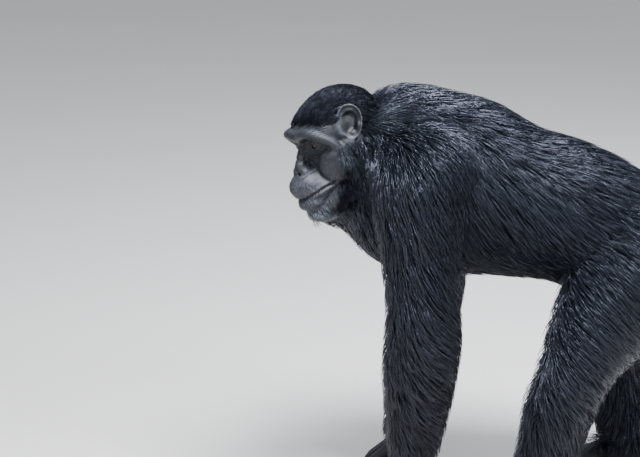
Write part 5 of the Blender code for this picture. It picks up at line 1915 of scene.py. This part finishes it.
@dataclass
class Studio:
    """A pale floor, soft light from above and the camera at the photo's angle."""

    shift: Vector
    target: Point = (-0.316, 0.0, 0.504)
    elevation: float = 15.0
    distance: float = 5.0
    lens: float = 157.5
    floor_half: float = 15.0
    floor_drop: float = 0.2 * MM
    sky: str = "#dde3ea"
    sky_strength: float = 0.80

    def built(self) -> None:
        """Makes the floor, the light and the camera."""
        bm = bmesh.new()
        bmesh.ops.create_grid(bm, x_segments=1, y_segments=1, size=self.floor_half)
        floor = from_bmesh("studio_floor", bm)
        floor.data.transform(Matrix.Translation((0.0, 0.0, -self.floor_drop)))
        floor.data.materials.append(FloorFinish().material())
        world = bpy.data.worlds.new("soft_sky")
        bpy.context.scene.world = world
        world.use_nodes = True
        sky = world.node_tree.nodes["Background"]
        sky.inputs[0].default_value = (*linear(self.sky), 1.0)
        sky.inputs[1].default_value = self.sky_strength
        self.lamp("overhead", (0.10, -0.80, 2.5), 0.9, 230.0, "#f6f7ff")
        self.lamp("front", (-1.6, -2.6, 1.9), 1.3, 34.0, "#eef3ff")
        self.lamp("rim", (0.9, 1.8, 2.2), 1.1, 60.0, "#e8f0ff")
        self.lamp("flank", (1.5, -1.5, 2.1), 0.8, 70.0, "#f0f3ff")
        self.camera()

    def lamp(self, name: str, at: Point, size: float, power: float, colour: str) -> None:
        """Adds a square soft light that faces the animal's middle."""
        data = bpy.data.lights.new(name, "AREA")
        data.shape, data.size, data.energy, data.color = "SQUARE", size, power, linear(colour)
        obj = bpy.data.objects.new(name, data)
        bpy.context.scene.collection.objects.link(obj)
        obj.location = Vector(at)
        obj.rotation_mode = "QUATERNION"
        obj.rotation_quaternion = (Vector((0.0, 0.0, 0.4)) - Vector(at)).to_track_quat("-Z", "Y")

    def camera(self) -> None:
        """Adds the camera."""
        data = bpy.data.cameras.new("camera")
        data.lens, data.sensor_width = self.lens, 36.0
        data.clip_start, data.clip_end = 0.05, 100.0
        obj = bpy.data.objects.new("camera", data)
        bpy.context.scene.collection.objects.link(obj)
        tilt = math.radians(self.elevation)
        back = Vector((0.0, -math.cos(tilt), math.sin(tilt)))
        obj.location = Vector(self.target) + self.shift + back * self.distance
        obj.rotation_mode = "QUATERNION"
        obj.rotation_quaternion = (-back).to_track_quat("-Z", "Y")
        bpy.context.scene.camera = obj


FLESH = (
    "head neck chest rump left_ear right_ear left_upper_arm right_upper_arm left_forearm right_forearm left_hand"
    " right_hand left_thigh right_thigh left_lower_leg right_lower_leg left_foot right_foot"
).split()


def ride(obj: bpy.types.Object, shift: Vector, slot: str, *nodes: str) -> None:
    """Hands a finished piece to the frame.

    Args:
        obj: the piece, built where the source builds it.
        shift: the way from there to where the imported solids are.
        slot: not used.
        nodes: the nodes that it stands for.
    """
    obj.data.transform(Matrix.Translation(shift))
    obj.data.update()
    if nodes:
        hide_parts(*nodes)
    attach(obj, "root")


def main() -> None:
    logging.basicConfig(level=logging.INFO, format="%(message)s")
    head = Head()
    low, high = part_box("left_eye")
    shift = (low + high) / 2 - head.place() @ Vector(head.eye_at)
    Studio(shift).built()
    skin = Skin(head)
    skin.built()
    log.info("skin: %d faces", len(skin.obj.data.polygons))
    eyes = Eyes(head).built()
    nails = Nails(skin.obj).built()
    coat = Coat(skin).built()
    skin.thinned()
    ride(skin.obj, shift, "skin", *FLESH)
    for obj, side in zip(eyes, Side):
        ride(obj, shift, "eye", f"{side.label}_eye")
    for obj in nails:
        ride(obj, shift, "skin")
    for obj in coat:
        ride(obj, shift, "coat")


if __name__ == "__main__":
    main()
